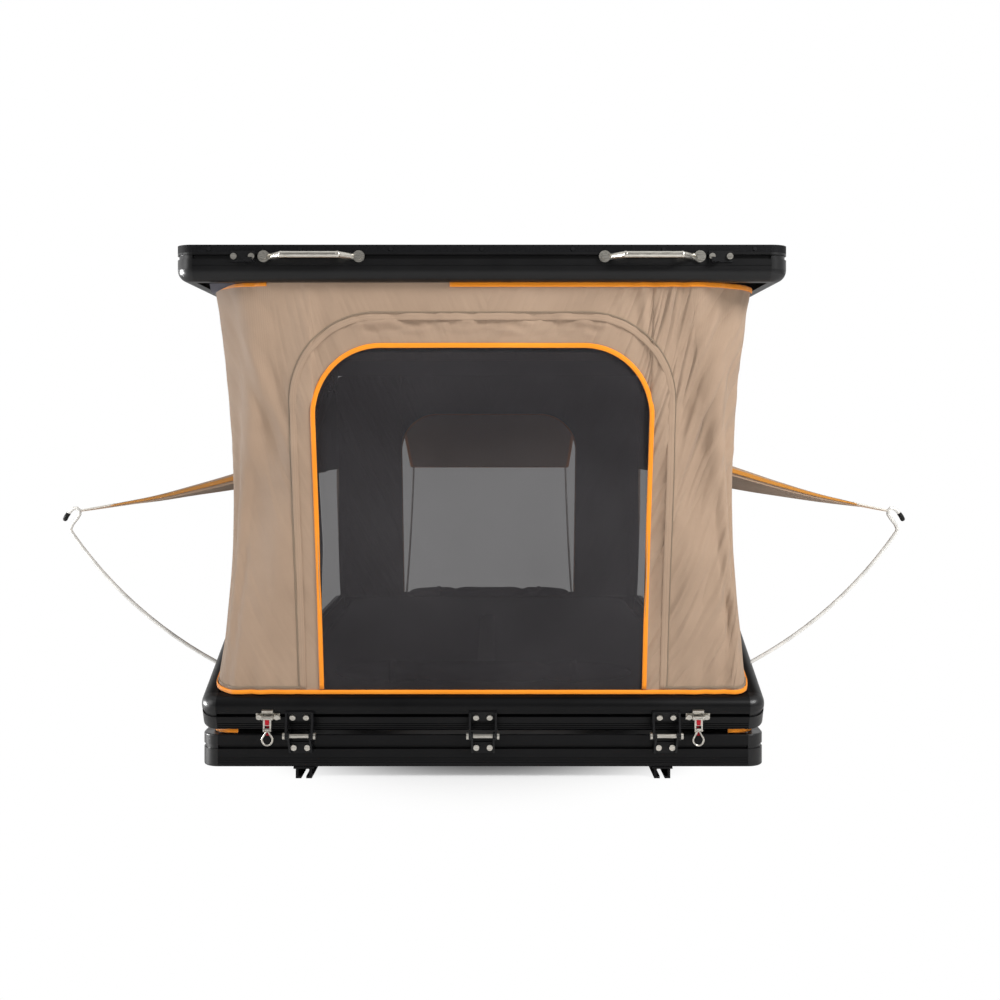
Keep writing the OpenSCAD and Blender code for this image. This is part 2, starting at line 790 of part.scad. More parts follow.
module upper_strut_tube_left() {
    color("black") mid_place() strut_line(-1, up_stud, up_end) strut_tube();
}
module upper_strut_tube_right() {
    color("black") mid_place() strut_line(1, up_stud, up_end) strut_tube();
}
module upper_strut_rod_left() {
    color("silver") mid_place() strut_line(-1, up_end, up_stud) strut_rod();
}
module upper_strut_rod_right() {
    color("silver") mid_place() strut_line(1, up_end, up_stud) strut_rod();
}
// Bracket on the right inner face; a through stud carries the tube, a short one meets the rod's eye
module bracket(p, through) {
    face = strut_x + strut_eye_w / 2 + side_play;
    keep = strut_x - strut_eye_w / 2 - side_play - stud_head;
    tip = through ? keep : face;
    translate([in_w - bracket_t, p[0] - bracket_l / 2, p[1] - bracket_h / 2]) cube([bracket_t, bracket_l, bracket_h]);
    translate([tip, p[0], p[1]]) rotate([0, 90, 0]) cylinder(r = stud_r, h = in_w - tip);
    if (through) translate([keep, p[0], p[1]]) rotate([0, 90, 0]) cylinder(r = stud_r + stud_head, h = stud_head);
}
module tray_strut_brackets() {
    color("dimgray") both_x() bracket(low_stud, true);
}
module mid_strut_brackets() {
    color("dimgray") mid_place() both_x() {
        bracket(low_end_closed, false);
        bracket(up_stud, true);
    }
}
module lid_strut_brackets() {
    color("dimgray") lid_place() both_x() bracket(up_end_closed, false);
}

// Round bar of radius r along a path, with sides faces; ref is never along the path
function unit(v) = v / norm(v);
function rod_ring(p, t, ref, r, sides) = let (b = unit(cross(t, ref)), u = cross(b, t))
    [for (i = [0:sides - 1]) p + r * (cos(360 * i / sides) * b + sin(360 * i / sides) * u)];
module sweep(path, r, sides, ref) {
    m = len(path);
    points = [for (i = [0:m - 1])
        each rod_ring(path[i], unit(path[min(i + 1, m - 1)] - path[max(i - 1, 0)]), ref, r, sides)];
    walls = [for (i = [0:m - 2], k = [0:sides - 1])
        let (a = i * sides + k, b = i * sides + (k + 1) % sides)
        each [[a, b, b + sides], [a, b + sides, a + sides]]];
    first = [for (k = [sides - 1:-1:0]) k];
    last = [for (k = [0:sides - 1]) (m - 1) * sides + k];
    polyhedron(points, concat(walls, [first, last]));
}
// Points of an arc of length l whose slope goes from a0 to a1
function rod_arc(l, a0, a1, n) = let (r = l / ((a1 - a0) * PI / 180))
    [for (i = [0:n]) let (a = a0 + (a1 - a0) * i / n) [r * (sin(a) - sin(a0)), r * (cos(a0) - cos(a))]];

// Side awning rods, with a crooked end
rod_sides = 8;
rod_steps = 12;
side_foot = mid_open([side_rod_y - half_l, mid_slot + side_rod_up]);
side_arc = rod_arc(side_rod_l, side_rod_a0, side_rod_a1, rod_steps);
side_end = side_arc[rod_steps];
// Crook at the rod's end, as steps across and up from the bend
crook = [[3, 8], [-2, 20], [-13, 34], [-19, 44], [-19, 52], [-13, 58], [-4, 57], [4, 50], [12, 39], [16, 31]];
side_start = [half_w, side_foot[0], side_foot[1]];
side_path = concat(
    [side_start - rod_deep * [cos(side_rod_a0), 0, sin(side_rod_a0)]],
    [for (i = [0:rod_steps]) side_start + [side_arc[i][0], side_rod_back * i / rod_steps, side_arc[i][1]]],
    [for (c = crook) side_start + [side_end[0] + c[0], side_rod_back, side_end[1] + c[1]]]
);
// Where the awning's cord sits in the crook
crook_seat = side_start + [side_end[0] + crook[4][0] - rod_r - rod_play, side_rod_back, side_end[1] + crook[4][1]];
module side_rod() {
    color("silver") sweep(side_path, rod_r, rod_sides, [0, 1, 0]);
}
module side_rod_holes() {
    both_x() translate(side_start) rotate([0, 90 - side_rod_a0, 0])
        translate([0, 0, -rod_deep - rod_play]) cylinder(r = rod_r + rod_play, h = 2 * rod_deep);
}
module side_rod_left() {
    mirror([1, 0, 0]) side_rod();
}
module side_rod_right() {
    side_rod();
}
// Rear awning rods
rear_rod_in = 8;
rear_rod_x = window_half - rear_rod_in;
rear_start = [rear_rod_x, half_l, tray_slot + rear_rod_up];
rear_arc = rod_arc(rear_rod_l, rear_rod_a0, rear_rod_a1, rod_steps);
rear_tip = rear_start + [0, rear_arc[rod_steps][0], rear_arc[rod_steps][1]];
rear_path = concat(
    [rear_start - rod_deep * [0, cos(rear_rod_a0), sin(rear_rod_a0)]],
    [for (p = rear_arc) rear_start + [0, p[0], p[1]]]
);
module rear_rod() {
    color("silver") sweep(rear_path, rod_r, rod_sides, [1, 0, 0]);
}
module rear_rod_holes() {
    both_x() translate(rear_start) rotate([rear_rod_a0 - 90, 0, 0])
        translate([0, 0, -rod_deep - rod_play]) cylinder(r = rod_r + rod_play, h = 2 * rod_deep);
}
module rear_rod_left() {
    mirror([1, 0, 0]) rear_rod();
}
module rear_rod_right() {
    rear_rod();
}

// Closed sheet between two grids of points; keep says which cells are cloth
module sheet(outer, inner, keep) {
    n = len(outer);
    m = len(outer[0]);
    points = concat([for (c = outer) each c], [for (c = inner) each c]);
    function on(i, j) = i >= 0 && j >= 0 && i < n - 1 && j < m - 1 ? keep[i][j] : false;
    function quad(a, b, c, d) = [[a, b, c], [a, c, d]];
    faces = [for (i = [0:n - 2], j = [0:m - 2]) if (on(i, j))
        let (a = i * m + j, b = a + m, c = b + 1, d = a + 1, s = n * m)
        each concat(
            quad(a, d, c, b), quad(a + s, b + s, c + s, d + s),
            on(i - 1, j) ? [] : quad(a, a + s, d + s, d), on(i + 1, j) ? [] : quad(b, c, c + s, b + s),
            on(i, j - 1) ? [] : quad(a, b, b + s, a + s), on(i, j + 1) ? [] : quad(c, d, d + s, c + s)
        )];
    polyhedron(points, faces);
}
function flip_x(c) = [for (p = c) [-p[0], p[1], p[2]]];
// Whole walls from their right half, in the order that turns the outer side outward
function left_first(h) = concat([for (k = [len(h) - 1:-1:1]) flip_x(h[k])], h);
function right_first(h) = concat([for (k = [len(h) - 1:-1:1]) h[k]], [for (c = h) flip_x(c)]);
function both_cells(h) = concat([for (k = [len(h) - 1:-1:0]) h[k]], h);
function mix(a, b, t) = a + (b - a) * t;
// Height of an arch of half width w at x, with corners of radius r, below its top
function arch_drop(x, w, r) = x <= w - r ? 0 : r - sqrt(max(0, r * r - pow(min(x, w) - w + r, 2)));
// Row shares of a column: lo rows to share b, mid rows on to share t, hi rows to the top
function row_shares(b, t, lo, mid, hi) = concat(
    [for (j = [0:lo]) b * j / lo], [for (j = [1:mid]) mix(b, t, j / mid)], [for (j = [1:hi]) mix(t, 1, j / hi)]
);

// Upper canvas: from the middle ring up to the roof shell
seat_in = 5;
low_x = in_w + seat_in;
top_x = in_w + 3.5;
low_front = mid_open([-in_l - seat_in, mid_top]);
top_front = lid_shift[0] - half_l + cloth_front;
roof_low = lid_z + lid_shift[1] - cloth_gap;
ring_edge = mid_open([-half_l, mid_top]);
function ring_top(y) = ring_edge[1] + (y - ring_edge[0]) * tan(open_deg) + cloth_gap / cos(open_deg);
door_cols = 5;
arc_cols = 4;
near_col = door_cols + 2 + arc_cols + 1;
win_cols = 5;
far_col = near_col + win_cols;
tail_cols = 3;
last_col = far_col + tail_cols;
up_lo = 2;
up_mid = 5;
up_hi = 3;
up_arch = up_lo + up_mid;
near_y = upper_window_y0 - half_l;
far_y = upper_window_y1 - half_l;
end_y = in_l + lid_shift[0];
upper_window_fall = 50;
arc_start = door_cols + 2;
function arc_angle(k) = max(0, min(90, 90 * (k - arc_start) / arc_cols));
function wall_y(k) = k <= far_col ? mix(near_y, far_y, (k - near_col) / win_cols)
    : mix(far_y, end_y, (k - far_col) / tail_cols);
function column_x(k, x, r) = k <= door_cols ? door_half * sin(90 * k / door_cols)
    : k < arc_start ? (door_half + x - r) / 2 : x - r + r * sin(arc_angle(k));
function column_y(k, y, r) = k < near_col ? y + r - r * cos(arc_angle(k)) : wall_y(k);
function in_normal(k) = [-sin(arc_angle(k)), cos(arc_angle(k)), 0];
function low_point(k) = let (y = column_y(k, low_front[0], cloth_low_r)) [column_x(k, low_x, cloth_low_r), y, ring_top(y)];
function top_point(k) = [column_x(k, top_x, cloth_top_r), column_y(k, top_front, cloth_top_r), roof_low];
door_top = roof_low - door_drop;
function window_top(k) = roof_low - upper_window_drop - upper_window_fall * (k - near_col) / win_cols;
function split_z(k) = k <= door_cols ? door_top - arch_drop(column_x(k, low_x, cloth_low_r), door_half, door_r)
    : k < near_col ? mix(door_top - door_r, window_top(near_col), (k - door_cols) / (near_col - door_cols))
    : window_top(k);
function upper_shares(k) = let (z0 = low_point(k)[2], h = roof_low - z0)
    k < near_col || k > far_col ? row_shares(0.18, k > far_col ? 0.7 : (split_z(k) - z0) / h, up_lo, up_mid, up_hi)
    : row_shares(upper_window_sill / h, (split_z(k) - z0) / h, up_lo, up_mid, up_hi);
function waist_share(k) = k <= door_cols ? 0 : k < near_col ? sin(90 * (k - door_cols) / (near_col - 1 - door_cols))
    : mix(0.8, 0, (k - near_col) / (last_col - near_col));
function fold(k, w) = cloth_fold * sin(150 * k + 250 * w) * sin(180 * w);
// Across the door the folds start above the bed and grow towards the roof
function front_fold(k, w) = k <= door_cols ? w * w * fold(k, w) : fold(k, w);
// The lower edge follows the slope of the ring through the cloth's thickness
function upper_at(k, w, d) = mix(low_point(k), top_point(k), w)
    + in_normal(k) * (d + cloth_waist * waist_share(k) * sin(180 * w) + front_fold(k, w))
    + [0, 0, (1 - w) * tan(open_deg) * d * in_normal(k)[1]];
function upper_half(d) = [for (k = [0:last_col]) [for (w = upper_shares(k)) upper_at(k, w, d)]];
function upper_hole(k, j) = (k < door_cols && j < up_arch)
    || (k >= near_col && k < far_col && j >= up_lo && j < up_arch);
upper_rows = up_arch + up_hi;
upper_cells = [for (k = [0:last_col - 1]) [for (j = [0:upper_rows - 1]) !upper_hole(k, j)]];
upper_holes = [for (k = [0:last_col - 1]) [for (j = [0:upper_rows - 1]) upper_hole(k, j)]];
mesh_t = 1;
roll_share = 0.05;
front_lean = atan2(low_front[0] - top_front, roof_low - low_front[1]);

// Rolled panel of half length l, drawn in at its two ties
roll_steps = 24;
tie_at = 0.42;
tie_wide = 0.05;
function roll_at(u) = roll_r * sqrt(max(0.05, 1 - pow(u, 8)))
    * (1 - 0.28 * exp(-pow((abs(u) - tie_at) / tie_wide, 2)));
module roll(l) {
    rotate([0, 90, 0]) rotate_extrude() polygon(concat(
        [[0, -l]], [for (i = [0:roll_steps]) let (u = 2 * i / roll_steps - 1) [roll_at(u), u * l]], [[0, l]]
    ));
}
module upper_canvas() {
    color("tan") {
        sheet(left_first(upper_half(0)), left_first(upper_half(cloth_t)), both_cells(upper_cells));
        translate(upper_at(0, roll_share, 2 * mesh_t) + [0, (roll_r + cloth_gap) / cos(front_lean), 0])
            roll(door_half - roll_r);
    }
}
module upper_mesh() {
    color("black") sheet(left_first(upper_half(mesh_t)), left_first(upper_half(2 * mesh_t)), both_cells(upper_holes));
}
// Piping round the door and along the wall's lower and upper edges
pipe_sides = 6;
pipe_gap = 0.3;
function pipe_at(k, w) = upper_at(k, w, -pipe_r - pipe_gap);
function whole_path(h) = concat([for (i = [len(h) - 1:-1:1]) [-h[i][0], h[i][1], h[i][2]]], h);
door_path = concat(
    [for (k = [0:door_cols]) pipe_at(k, upper_shares(k)[up_arch])],
    [for (j = [up_arch - 1:-1:1]) pipe_at(door_cols, upper_shares(door_cols)[j])]
);
low_path = [for (k = [0:near_col - 1]) pipe_at(k, 0.02)];
top_path = [for (k = [0:near_col - 2]) pipe_at(k, 0.985)];
module front_trim() {
    color("orange") {
        sweep(whole_path(door_path), pipe_r, pipe_sides, [0, 1, 0]);
        sweep(whole_path(low_path), pipe_r, pipe_sides, [0, 0, 1]);
        sweep(whole_path(top_path), pipe_r, pipe_sides, [0, 0, 1]);
    }
}

// Lower canvas: from the tray up to the middle ring, open to the front
low_rear = in_l + seat_in;
top_rear = mid_open([in_l + seat_in, mid_z])[0];
under_edge = mid_open([-half_l, mid_z]);
function ring_low(y) = under_edge[1] + (y - under_edge[0]) * tan(open_deg) - cloth_gap / cos(open_deg);
rear_cols = 4;
turn_cols = 2;
turn_start = rear_cols + 2;
side_col = turn_start + turn_cols + 1;
side_win_cols = 3;
side_end_col = side_col + side_win_cols;
fore_cols = 5;
fore_col = side_end_col + fore_cols;
lo_lo = 2;
lo_mid = 4;
lo_hi = 2;
lo_top = lo_lo + lo_mid;
function turn_angle(k) = max(0, min(90, 90 * (k - turn_start) / turn_cols));
function rear_x(k) = k <= rear_cols ? window_half * sin(90 * k / rear_cols)
    : k < turn_start ? (window_half + low_x - cloth_low_r) / 2
    : low_x - cloth_low_r + cloth_low_r * sin(turn_angle(k));
function rear_y(k) = k < side_col ? low_rear - cloth_low_r + cloth_low_r * cos(turn_angle(k))
    : k <= side_end_col ? mix(side_window_y1, side_window_y0, (k - side_col) / side_win_cols)
    : mix(side_window_y0, -in_l, (k - side_end_col) / fore_cols);
function lean_y(y) = y > 0 ? y * top_rear / low_rear : y;
function out_normal(k) = [sin(turn_angle(k)), cos(turn_angle(k)), 0];
sill_z = tray_top + sill;
function lower_split(k) = k <= rear_cols ? sill_z + window_h - arch_drop(rear_x(k), window_half, window_r)
    : k < side_col ? mix(sill_z + window_h - window_r, sill_z + side_window_h, (k - rear_cols) / (side_col - rear_cols))
    : sill_z + side_window_h;
function lower_shares(k) = let (z0 = tray_top + cloth_gap, h = ring_low(lean_y(rear_y(k))) - z0)
    k <= side_end_col ? row_shares((sill_z - z0) / h, (lower_split(k) - z0) / h, lo_lo, lo_mid, lo_hi)
    : row_shares(0.25, 0.75, lo_lo, lo_mid, lo_hi);
function lower_at(k, w, d) = let (
    y0 = rear_y(k), y1 = lean_y(y0),
    low = [rear_x(k), y0, tray_top + cloth_gap], top = [rear_x(k), y1, ring_low(y1)]
) mix(low, top, w) - out_normal(k) * (d + (k <= rear_cols ? 0 : fold(k, w)))
    - [0, 0, w * tan(open_deg) * d * out_normal(k)[1]];
function lower_half(d) = [for (k = [0:fore_col]) [for (w = lower_shares(k)) lower_at(k, w, d)]];
function lower_hole(k, j) = j >= lo_lo && j < lo_top && (k < rear_cols || (k >= side_col && k < side_end_col));
lower_rows = lo_top + lo_hi;
rear_lean = atan2(low_rear - top_rear, ring_low(top_rear) - tray_top);
lower_cells = [for (k = [0:fore_col - 1]) [for (j = [0:lower_rows - 1]) !lower_hole(k, j)]];
lower_holes = [for (k = [0:fore_col - 1]) [for (j = [0:lower_rows - 1]) lower_hole(k, j)]];
module lower_canvas() {
    color("tan") {
        sheet(right_first(lower_half(0)), right_first(lower_half(cloth_t)), both_cells(lower_cells));
        translate(lower_at(0, lower_shares(0)[lo_lo], 2 * mesh_t) - [0, (roll_r + 2 * cloth_gap) / cos(rear_lean), 0])
            roll(window_half - roll_r);
    }
}
module lower_mesh() {
    color("black") sheet(right_first(lower_half(mesh_t)), right_first(lower_half(2 * mesh_t)), both_cells(lower_holes));
}

// Side awnings: the flaps of the upper side windows, drawn out to the rods
awning_rows = 6;
awning_sag = 10;
awning_end = 8;
function awning_point(i, j, up) = let (
    t = j / awning_rows, k = near_col + i, root = upper_at(k, upper_shares(k)[up_arch], -cloth_gap - awning_t),
    tip = crook_seat + [0, awning_end * (i / win_cols - 0.5), 0]
) mix(root, tip, t) + [0, 0, up - awning_sag * sin(180 * t)];
awning_low = [for (i = [0:win_cols]) [for (j = [0:awning_rows]) awning_point(i, j, 0)]];
awning_high = [for (i = [0:win_cols]) [for (j = [0:awning_rows]) awning_point(i, j, awning_t)]];
module side_awnings() {
    color("orange") both_x()
        sheet(awning_low, awning_high, [for (i = [1:win_cols]) [for (j = [1:awning_rows]) true]]);
}
// Rear awning: the flap of the rear window, held out by its two rods
flap_cols = 8;
flap_rows = 6;
flap_above = 22;
flap_share = (sill_z + window_h + flap_above - tray_top) / (ring_low(top_rear) - tray_top);
flap_root = lower_at(0, flap_share, -cloth_gap);
flap_slope = (flap_root[2] - rear_tip[2]) / (rear_tip[1] - flap_root[1]);
flap_edge = [0, rear_tip[1],
    rear_tip[2] + rod_play + rod_r * (cos(rear_rod_a1) - flap_slope * sin(rear_rod_a1))];
function flap_point(i, j, up) = let (t = j / flap_rows, x = window_half * (2 * i / flap_cols - 1))
    mix(flap_root, flap_edge, t) + [x, 0, up - awning_sag * sin(180 * t) * (1 - pow(x / window_half, 2))];
flap_high = [for (i = [0:flap_cols]) [for (j = [0:flap_rows]) flap_point(i, j, awning_t)]];
flap_low = [for (i = [0:flap_cols]) [for (j = [0:flap_rows]) flap_point(i, j, 0)]];
module rear_awning() {
    color("tan") sheet(flap_high, flap_low, [for (i = [1:flap_cols]) [for (j = [1:flap_rows]) true]]);
}

// Mattress with a crown and drawn-in sides
bed_z = tray_z + floor_z + floor_t;
bed_corner = 6;
bed_crown = 6;
// Heights as shares of the thickness, each with the inset of the outline there
bed_levels = [[0, 12], [0.12, 3], [0.5, 0], [0.86, 4], [0.97, 16], [1, 50]];
function bed_ring(z, d) = let (w = in_w - bed_clear - d, l = in_l - bed_clear - d, r = max(bed_r - d, bed_corner))
    [for (q = [0:3], i = [0:bed_corner]) let (
        a = 90 * q + 90 * i / bed_corner, sx = q == 0 || q == 3 ? 1 : -1, sy = q < 2 ? 1 : -1
    ) [sx * (w - r) + r * cos(a), sy * (l - r) + r * sin(a), z]];
bed_points = [for (v = bed_levels) each bed_ring(bed_z + v[0] * bed_t, v[1])];
bed_count = 4 * (bed_corner + 1);
module mattress() {
    levels = len(bed_levels);
    top_id = levels * bed_count;
    walls = [for (v = [0:levels - 2], i = [0:bed_count - 1])
        let (a = v * bed_count + i, b = v * bed_count + (i + 1) % bed_count)
        each [[a, b + bed_count, b], [a, a + bed_count, b + bed_count]]];
    under = [for (i = [0:bed_count - 1]) i];
    crown = [for (i = [0:bed_count - 1])
        [top_id, (levels - 1) * bed_count + (i + 1) % bed_count, (levels - 1) * bed_count + i]];
    color("gray") polyhedron(
        concat(bed_points, [[0, 0, bed_z + bed_t + bed_crown]]), concat(walls, [under], crown)
    );
}

mounting_rails();
tray_end_rails();
tray_side_rails();
tray_corners();
floor_panel();
mattress();
front_hinge_lower_leaves();
front_hinge_pins();
rear_latch_bases();
lower_canvas();
lower_mesh();
rear_awning();
tray_strut_brackets();
tray_bolts();
mid_end_rails();
mid_side_rails();
mid_corners();
front_hinge_upper_leaves();
rear_hinge_lower_leaves();
rear_hinge_pins();
front_latch_bases();
mid_keepers();
mid_handles();
upper_canvas();
upper_mesh();
front_trim();
side_awnings();
mid_strut_brackets();
mid_bolts();
lid_end_rails();
lid_side_rails();
lid_corners();
roof_skin();
roof_panel();
roof_rivets();
lid_handles();
lid_keepers();
rear_hinge_upper_leaves();
lid_strut_brackets();
lid_bolts();
front_lever_left();
front_lever_right();
rear_lever_left();
rear_lever_right();
front_bail_left();
front_bail_right();
rear_bail_left();
rear_bail_right();
side_rod_left();
side_rod_right();
rear_rod_left();
rear_rod_right();
lower_strut_tube_left();
lower_strut_tube_right();
lower_strut_rod_left();
lower_strut_rod_right();
upper_strut_tube_left();
upper_strut_tube_right();
upper_strut_rod_left();
upper_strut_rod_right();
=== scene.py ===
"""Hard-shell roof top tent, unfolded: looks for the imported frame, in metres."""
import math
import bpy
import numpy as np
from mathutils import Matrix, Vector, noise


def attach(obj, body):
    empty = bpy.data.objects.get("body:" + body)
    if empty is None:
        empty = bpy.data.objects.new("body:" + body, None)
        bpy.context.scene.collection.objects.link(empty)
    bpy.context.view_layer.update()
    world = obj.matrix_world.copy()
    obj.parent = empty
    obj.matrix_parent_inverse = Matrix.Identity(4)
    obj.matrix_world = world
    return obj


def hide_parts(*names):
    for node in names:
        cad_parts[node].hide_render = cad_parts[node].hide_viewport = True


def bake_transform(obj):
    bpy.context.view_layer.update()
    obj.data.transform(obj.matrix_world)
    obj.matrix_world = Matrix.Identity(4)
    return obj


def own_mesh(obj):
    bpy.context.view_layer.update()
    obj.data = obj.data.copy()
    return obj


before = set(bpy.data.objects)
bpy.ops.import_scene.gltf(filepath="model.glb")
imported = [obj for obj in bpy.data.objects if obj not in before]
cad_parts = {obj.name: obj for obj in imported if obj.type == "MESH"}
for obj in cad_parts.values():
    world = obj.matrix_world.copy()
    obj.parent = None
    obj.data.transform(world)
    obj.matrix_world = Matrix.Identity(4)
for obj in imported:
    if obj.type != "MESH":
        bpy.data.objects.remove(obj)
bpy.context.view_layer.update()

scene = bpy.context.scene
scene.view_settings.view_transform = "Standard"

# Finishes


def linear(hex_colour):
    """An sRGB hex value as linear RGBA."""
    parts = [int(hex_colour[i:i + 2], 16) / 255 for i in (1, 3, 5)]
    return tuple(c / 12.92 if c <= 0.04045 else ((c + 0.055) / 1.055) ** 2.4 for c in parts) + (1.0,)


def add(tree, kind, settings=None, **links):
    """A node with its settings, and stops of (place, hex) on a colour ramp. Each link names an input socket,
    or counts it as i0, i1 and so on, and gives it a value or another node's output."""
    node = tree.nodes.new(kind)
    for key, value in (settings or {}).items():
        if key != "stops":
            setattr(node, key, value)
            continue
        band = node.color_ramp.elements
        while len(band) < len(value):
            band.new(0.5)
        for element, (place, colour) in zip(band, value):
            element.position = place
            element.color = linear(colour)
    for key, value in links.items():
        counted = key[0] == "i" and key[1:].isdigit()
        socket = node.inputs[int(key[1:]) if counted else key.replace("_", " ")]
        if isinstance(value, bpy.types.NodeSocket):
            tree.links.new(value, socket)
        else:
            socket.default_value = value
    return node


def finish_of(name, **values):
    """An empty material with its Principled shader, whose plain values are set on the shader itself."""
    material = bpy.data.materials.new(name)
    material.use_nodes = True
    shader = material.node_tree.nodes["Principled BSDF"]
    for key, value in values.items():
        shader.inputs[key.replace("_", " ")].default_value = value
    return material, material.node_tree, shader


def powder_coated_aluminium(name, gloss):
    """Aluminium with a satin black powder coat: soft highlights on edges, a faint orange peel."""
    material, tree, shader = finish_of(name, Specular_IOR_Level=gloss)
    place = add(tree, "ShaderNodeTexCoord").outputs["Object"]
    cloud = add(tree, "ShaderNodeTexNoise", Vector=place, Scale=9.0, Detail=3.0).outputs["Fac"]
    coat = add(tree, "ShaderNodeValToRGB", {"stops": [(0.3, "#060607"), (0.7, "#0b0b0c")]}, Fac=cloud)
    tree.links.new(coat.outputs["Color"], shader.inputs["Base Color"])
    rough = add(tree, "ShaderNodeMapRange", Value=cloud, To_Min=0.30, To_Max=0.40).outputs["Result"]
    tree.links.new(rough, shader.inputs["Roughness"])
    # The peel is about 0.5 mm on the real coat, drawn at 1.6 mm so that it shows
    peel = add(tree, "ShaderNodeTexNoise", Vector=place, Scale=1 / 0.0016, Detail=1.0).outputs["Fac"]
    bump = add(tree, "ShaderNodeBump", Height=peel, Strength=0.05, Distance=0.0003)
    tree.links.new(bump.outputs["Normal"], shader.inputs["Normal"])
    return material


def textured_sheet():
    """Roof sheet with a fine textured black coat: duller than the rails, with a visible grain."""
    material, tree, shader = finish_of("textured_coated_sheet", Specular_IOR_Level=0.08)
    place = add(tree, "ShaderNodeTexCoord").outputs["Object"]
    # The grain is about 1 mm on the real sheet, drawn at 2.2 mm so that it shows
    grain = add(tree, "ShaderNodeTexNoise", Vector=place, Scale=1 / 0.0022, Detail=2.0).outputs["Fac"]
    coat = add(tree, "ShaderNodeValToRGB", {"stops": [(0.35, "#0c0c0d"), (0.7, "#151517")]}, Fac=grain)
    tree.links.new(coat.outputs["Color"], shader.inputs["Base Color"])
    shader.inputs["Roughness"].default_value = 0.55
    bump = add(tree, "ShaderNodeBump", Height=grain, Strength=0.12, Distance=0.0006)
    tree.links.new(bump.outputs["Normal"], shader.inputs["Normal"])
    return material


def steel(name, low, high, rough, streak, metal=1.0):
    """Bright steel whose brushing or drawing leaves streaks along one axis."""
    material, tree, shader = finish_of(name, Metallic=metal)
    place = add(tree, "ShaderNodeTexCoord").outputs["Object"]
    lined = add(tree, "ShaderNodeMapping", Vector=place, Scale=streak).outputs["Vector"]
    lines = add(tree, "ShaderNodeTexNoise", Vector=lined, Scale=1.0, Detail=3.0).outputs["Fac"]
    bright = add(tree, "ShaderNodeValToRGB", {"stops": [(0.3, low), (0.75, high)]}, Fac=lines)
    tree.links.new(bright.outputs["Color"], shader.inputs["Base Color"])
    spread = add(tree, "ShaderNodeMapRange", Value=lines, To_Min=rough - 0.06, To_Max=rough + 0.08)
    tree.links.new(spread.outputs["Result"], shader.inputs["Roughness"])
    bump = add(tree, "ShaderNodeBump", Height=lines, Strength=0.06, Distance=0.0002)
    tree.links.new(bump.outputs["Normal"], shader.inputs["Normal"])
    return material


def moulded(name, low, high, rough):
    """Moulded or dipped piece with a slightly uneven skin."""
    material, tree, shader = finish_of(name, Roughness=rough, Specular_IOR_Level=0.2)
    place = add(tree, "ShaderNodeTexCoord").outputs["Object"]
    skin = add(tree, "ShaderNodeTexNoise", Vector=place, Scale=1 / 0.004, Detail=3.0).outputs["Fac"]
    colour = add(tree, "ShaderNodeValToRGB", {"stops": [(0.3, low), (0.7, high)]}, Fac=skin)
    tree.links.new(colour.outputs["Color"], shader.inputs["Base Color"])
    bump = add(tree, "ShaderNodeBump", Height=skin, Strength=0.08, Distance=0.0004)
    tree.links.new(bump.outputs["Normal"], shader.inputs["Normal"])
    return material


# Middle of the upper wall on its map, in metres from the wall's left end
WALL_MIDDLE = 2.755


def pulled_creases(tree, place, deep):
    """Normals of creases that slant up and out from the wall's middle, 35 mm apart and ten times as long."""
    spot = add(tree, "ShaderNodeSeparateXYZ", Vector=place).outputs
    right = add(tree, "ShaderNodeMath", {"operation": "SUBTRACT"}, i0=spot["X"], i1=WALL_MIDDLE).outputs[0]
    aside = add(tree, "ShaderNodeMath", {"operation": "ABSOLUTE"}, i0=right).outputs[0]
    half = add(tree, "ShaderNodeCombineXYZ", X=aside, Y=spot["Y"]).outputs[0]
    slant = add(tree, "ShaderNodeMapping", Vector=half, Rotation=(0, 0, 0.43)).outputs[0]
    stretch = (28.0, 2.8, 1.0)
    long = add(tree, "ShaderNodeVectorMath", {"operation": "MULTIPLY"}, i0=slant, i1=stretch).outputs[0]
    folds = add(tree, "ShaderNodeTexNoise", Vector=long, Scale=1.0, Detail=2.0, Roughness=0.5).outputs["Fac"]
    creased = add(tree, "ShaderNodeBump", Height=folds, Strength=0.6, Distance=deep).outputs["Normal"]
    # Sharp lines where a finer noise crosses its mean, as pressed folds have, most of them right of the door
    soft = {"interpolation_type": "SMOOTHSTEP"}
    share = add(tree, "ShaderNodeMapRange", soft, i0=right, i1=0.05, i2=0.42, i3=0.12, i4=0.8).outputs[0]
    calmer = add(tree, "ShaderNodeMapRange", soft, i0=right, i1=0.55, i2=0.8, i3=1.0, i4=0.25).outputs[0]
    share = add(tree, "ShaderNodeMath", {"operation": "MULTIPLY"}, i0=share, i1=calmer).outputs[0]
    fine = add(tree, "ShaderNodeTexNoise", Vector=long, Scale=1.15, Detail=1.0, Roughness=0.4).outputs["Fac"]
    fine = add(tree, "ShaderNodeMath", {"operation": "SUBTRACT"}, i0=fine, i1=0.5).outputs[0]
    fine = add(tree, "ShaderNodeMath", {"operation": "ABSOLUTE"}, i0=fine).outputs[0]
    sharp = add(tree, "ShaderNodeBump", Height=fine, Strength=share, Distance=4.0 * deep, Normal=creased)
    return sharp.outputs["Normal"]


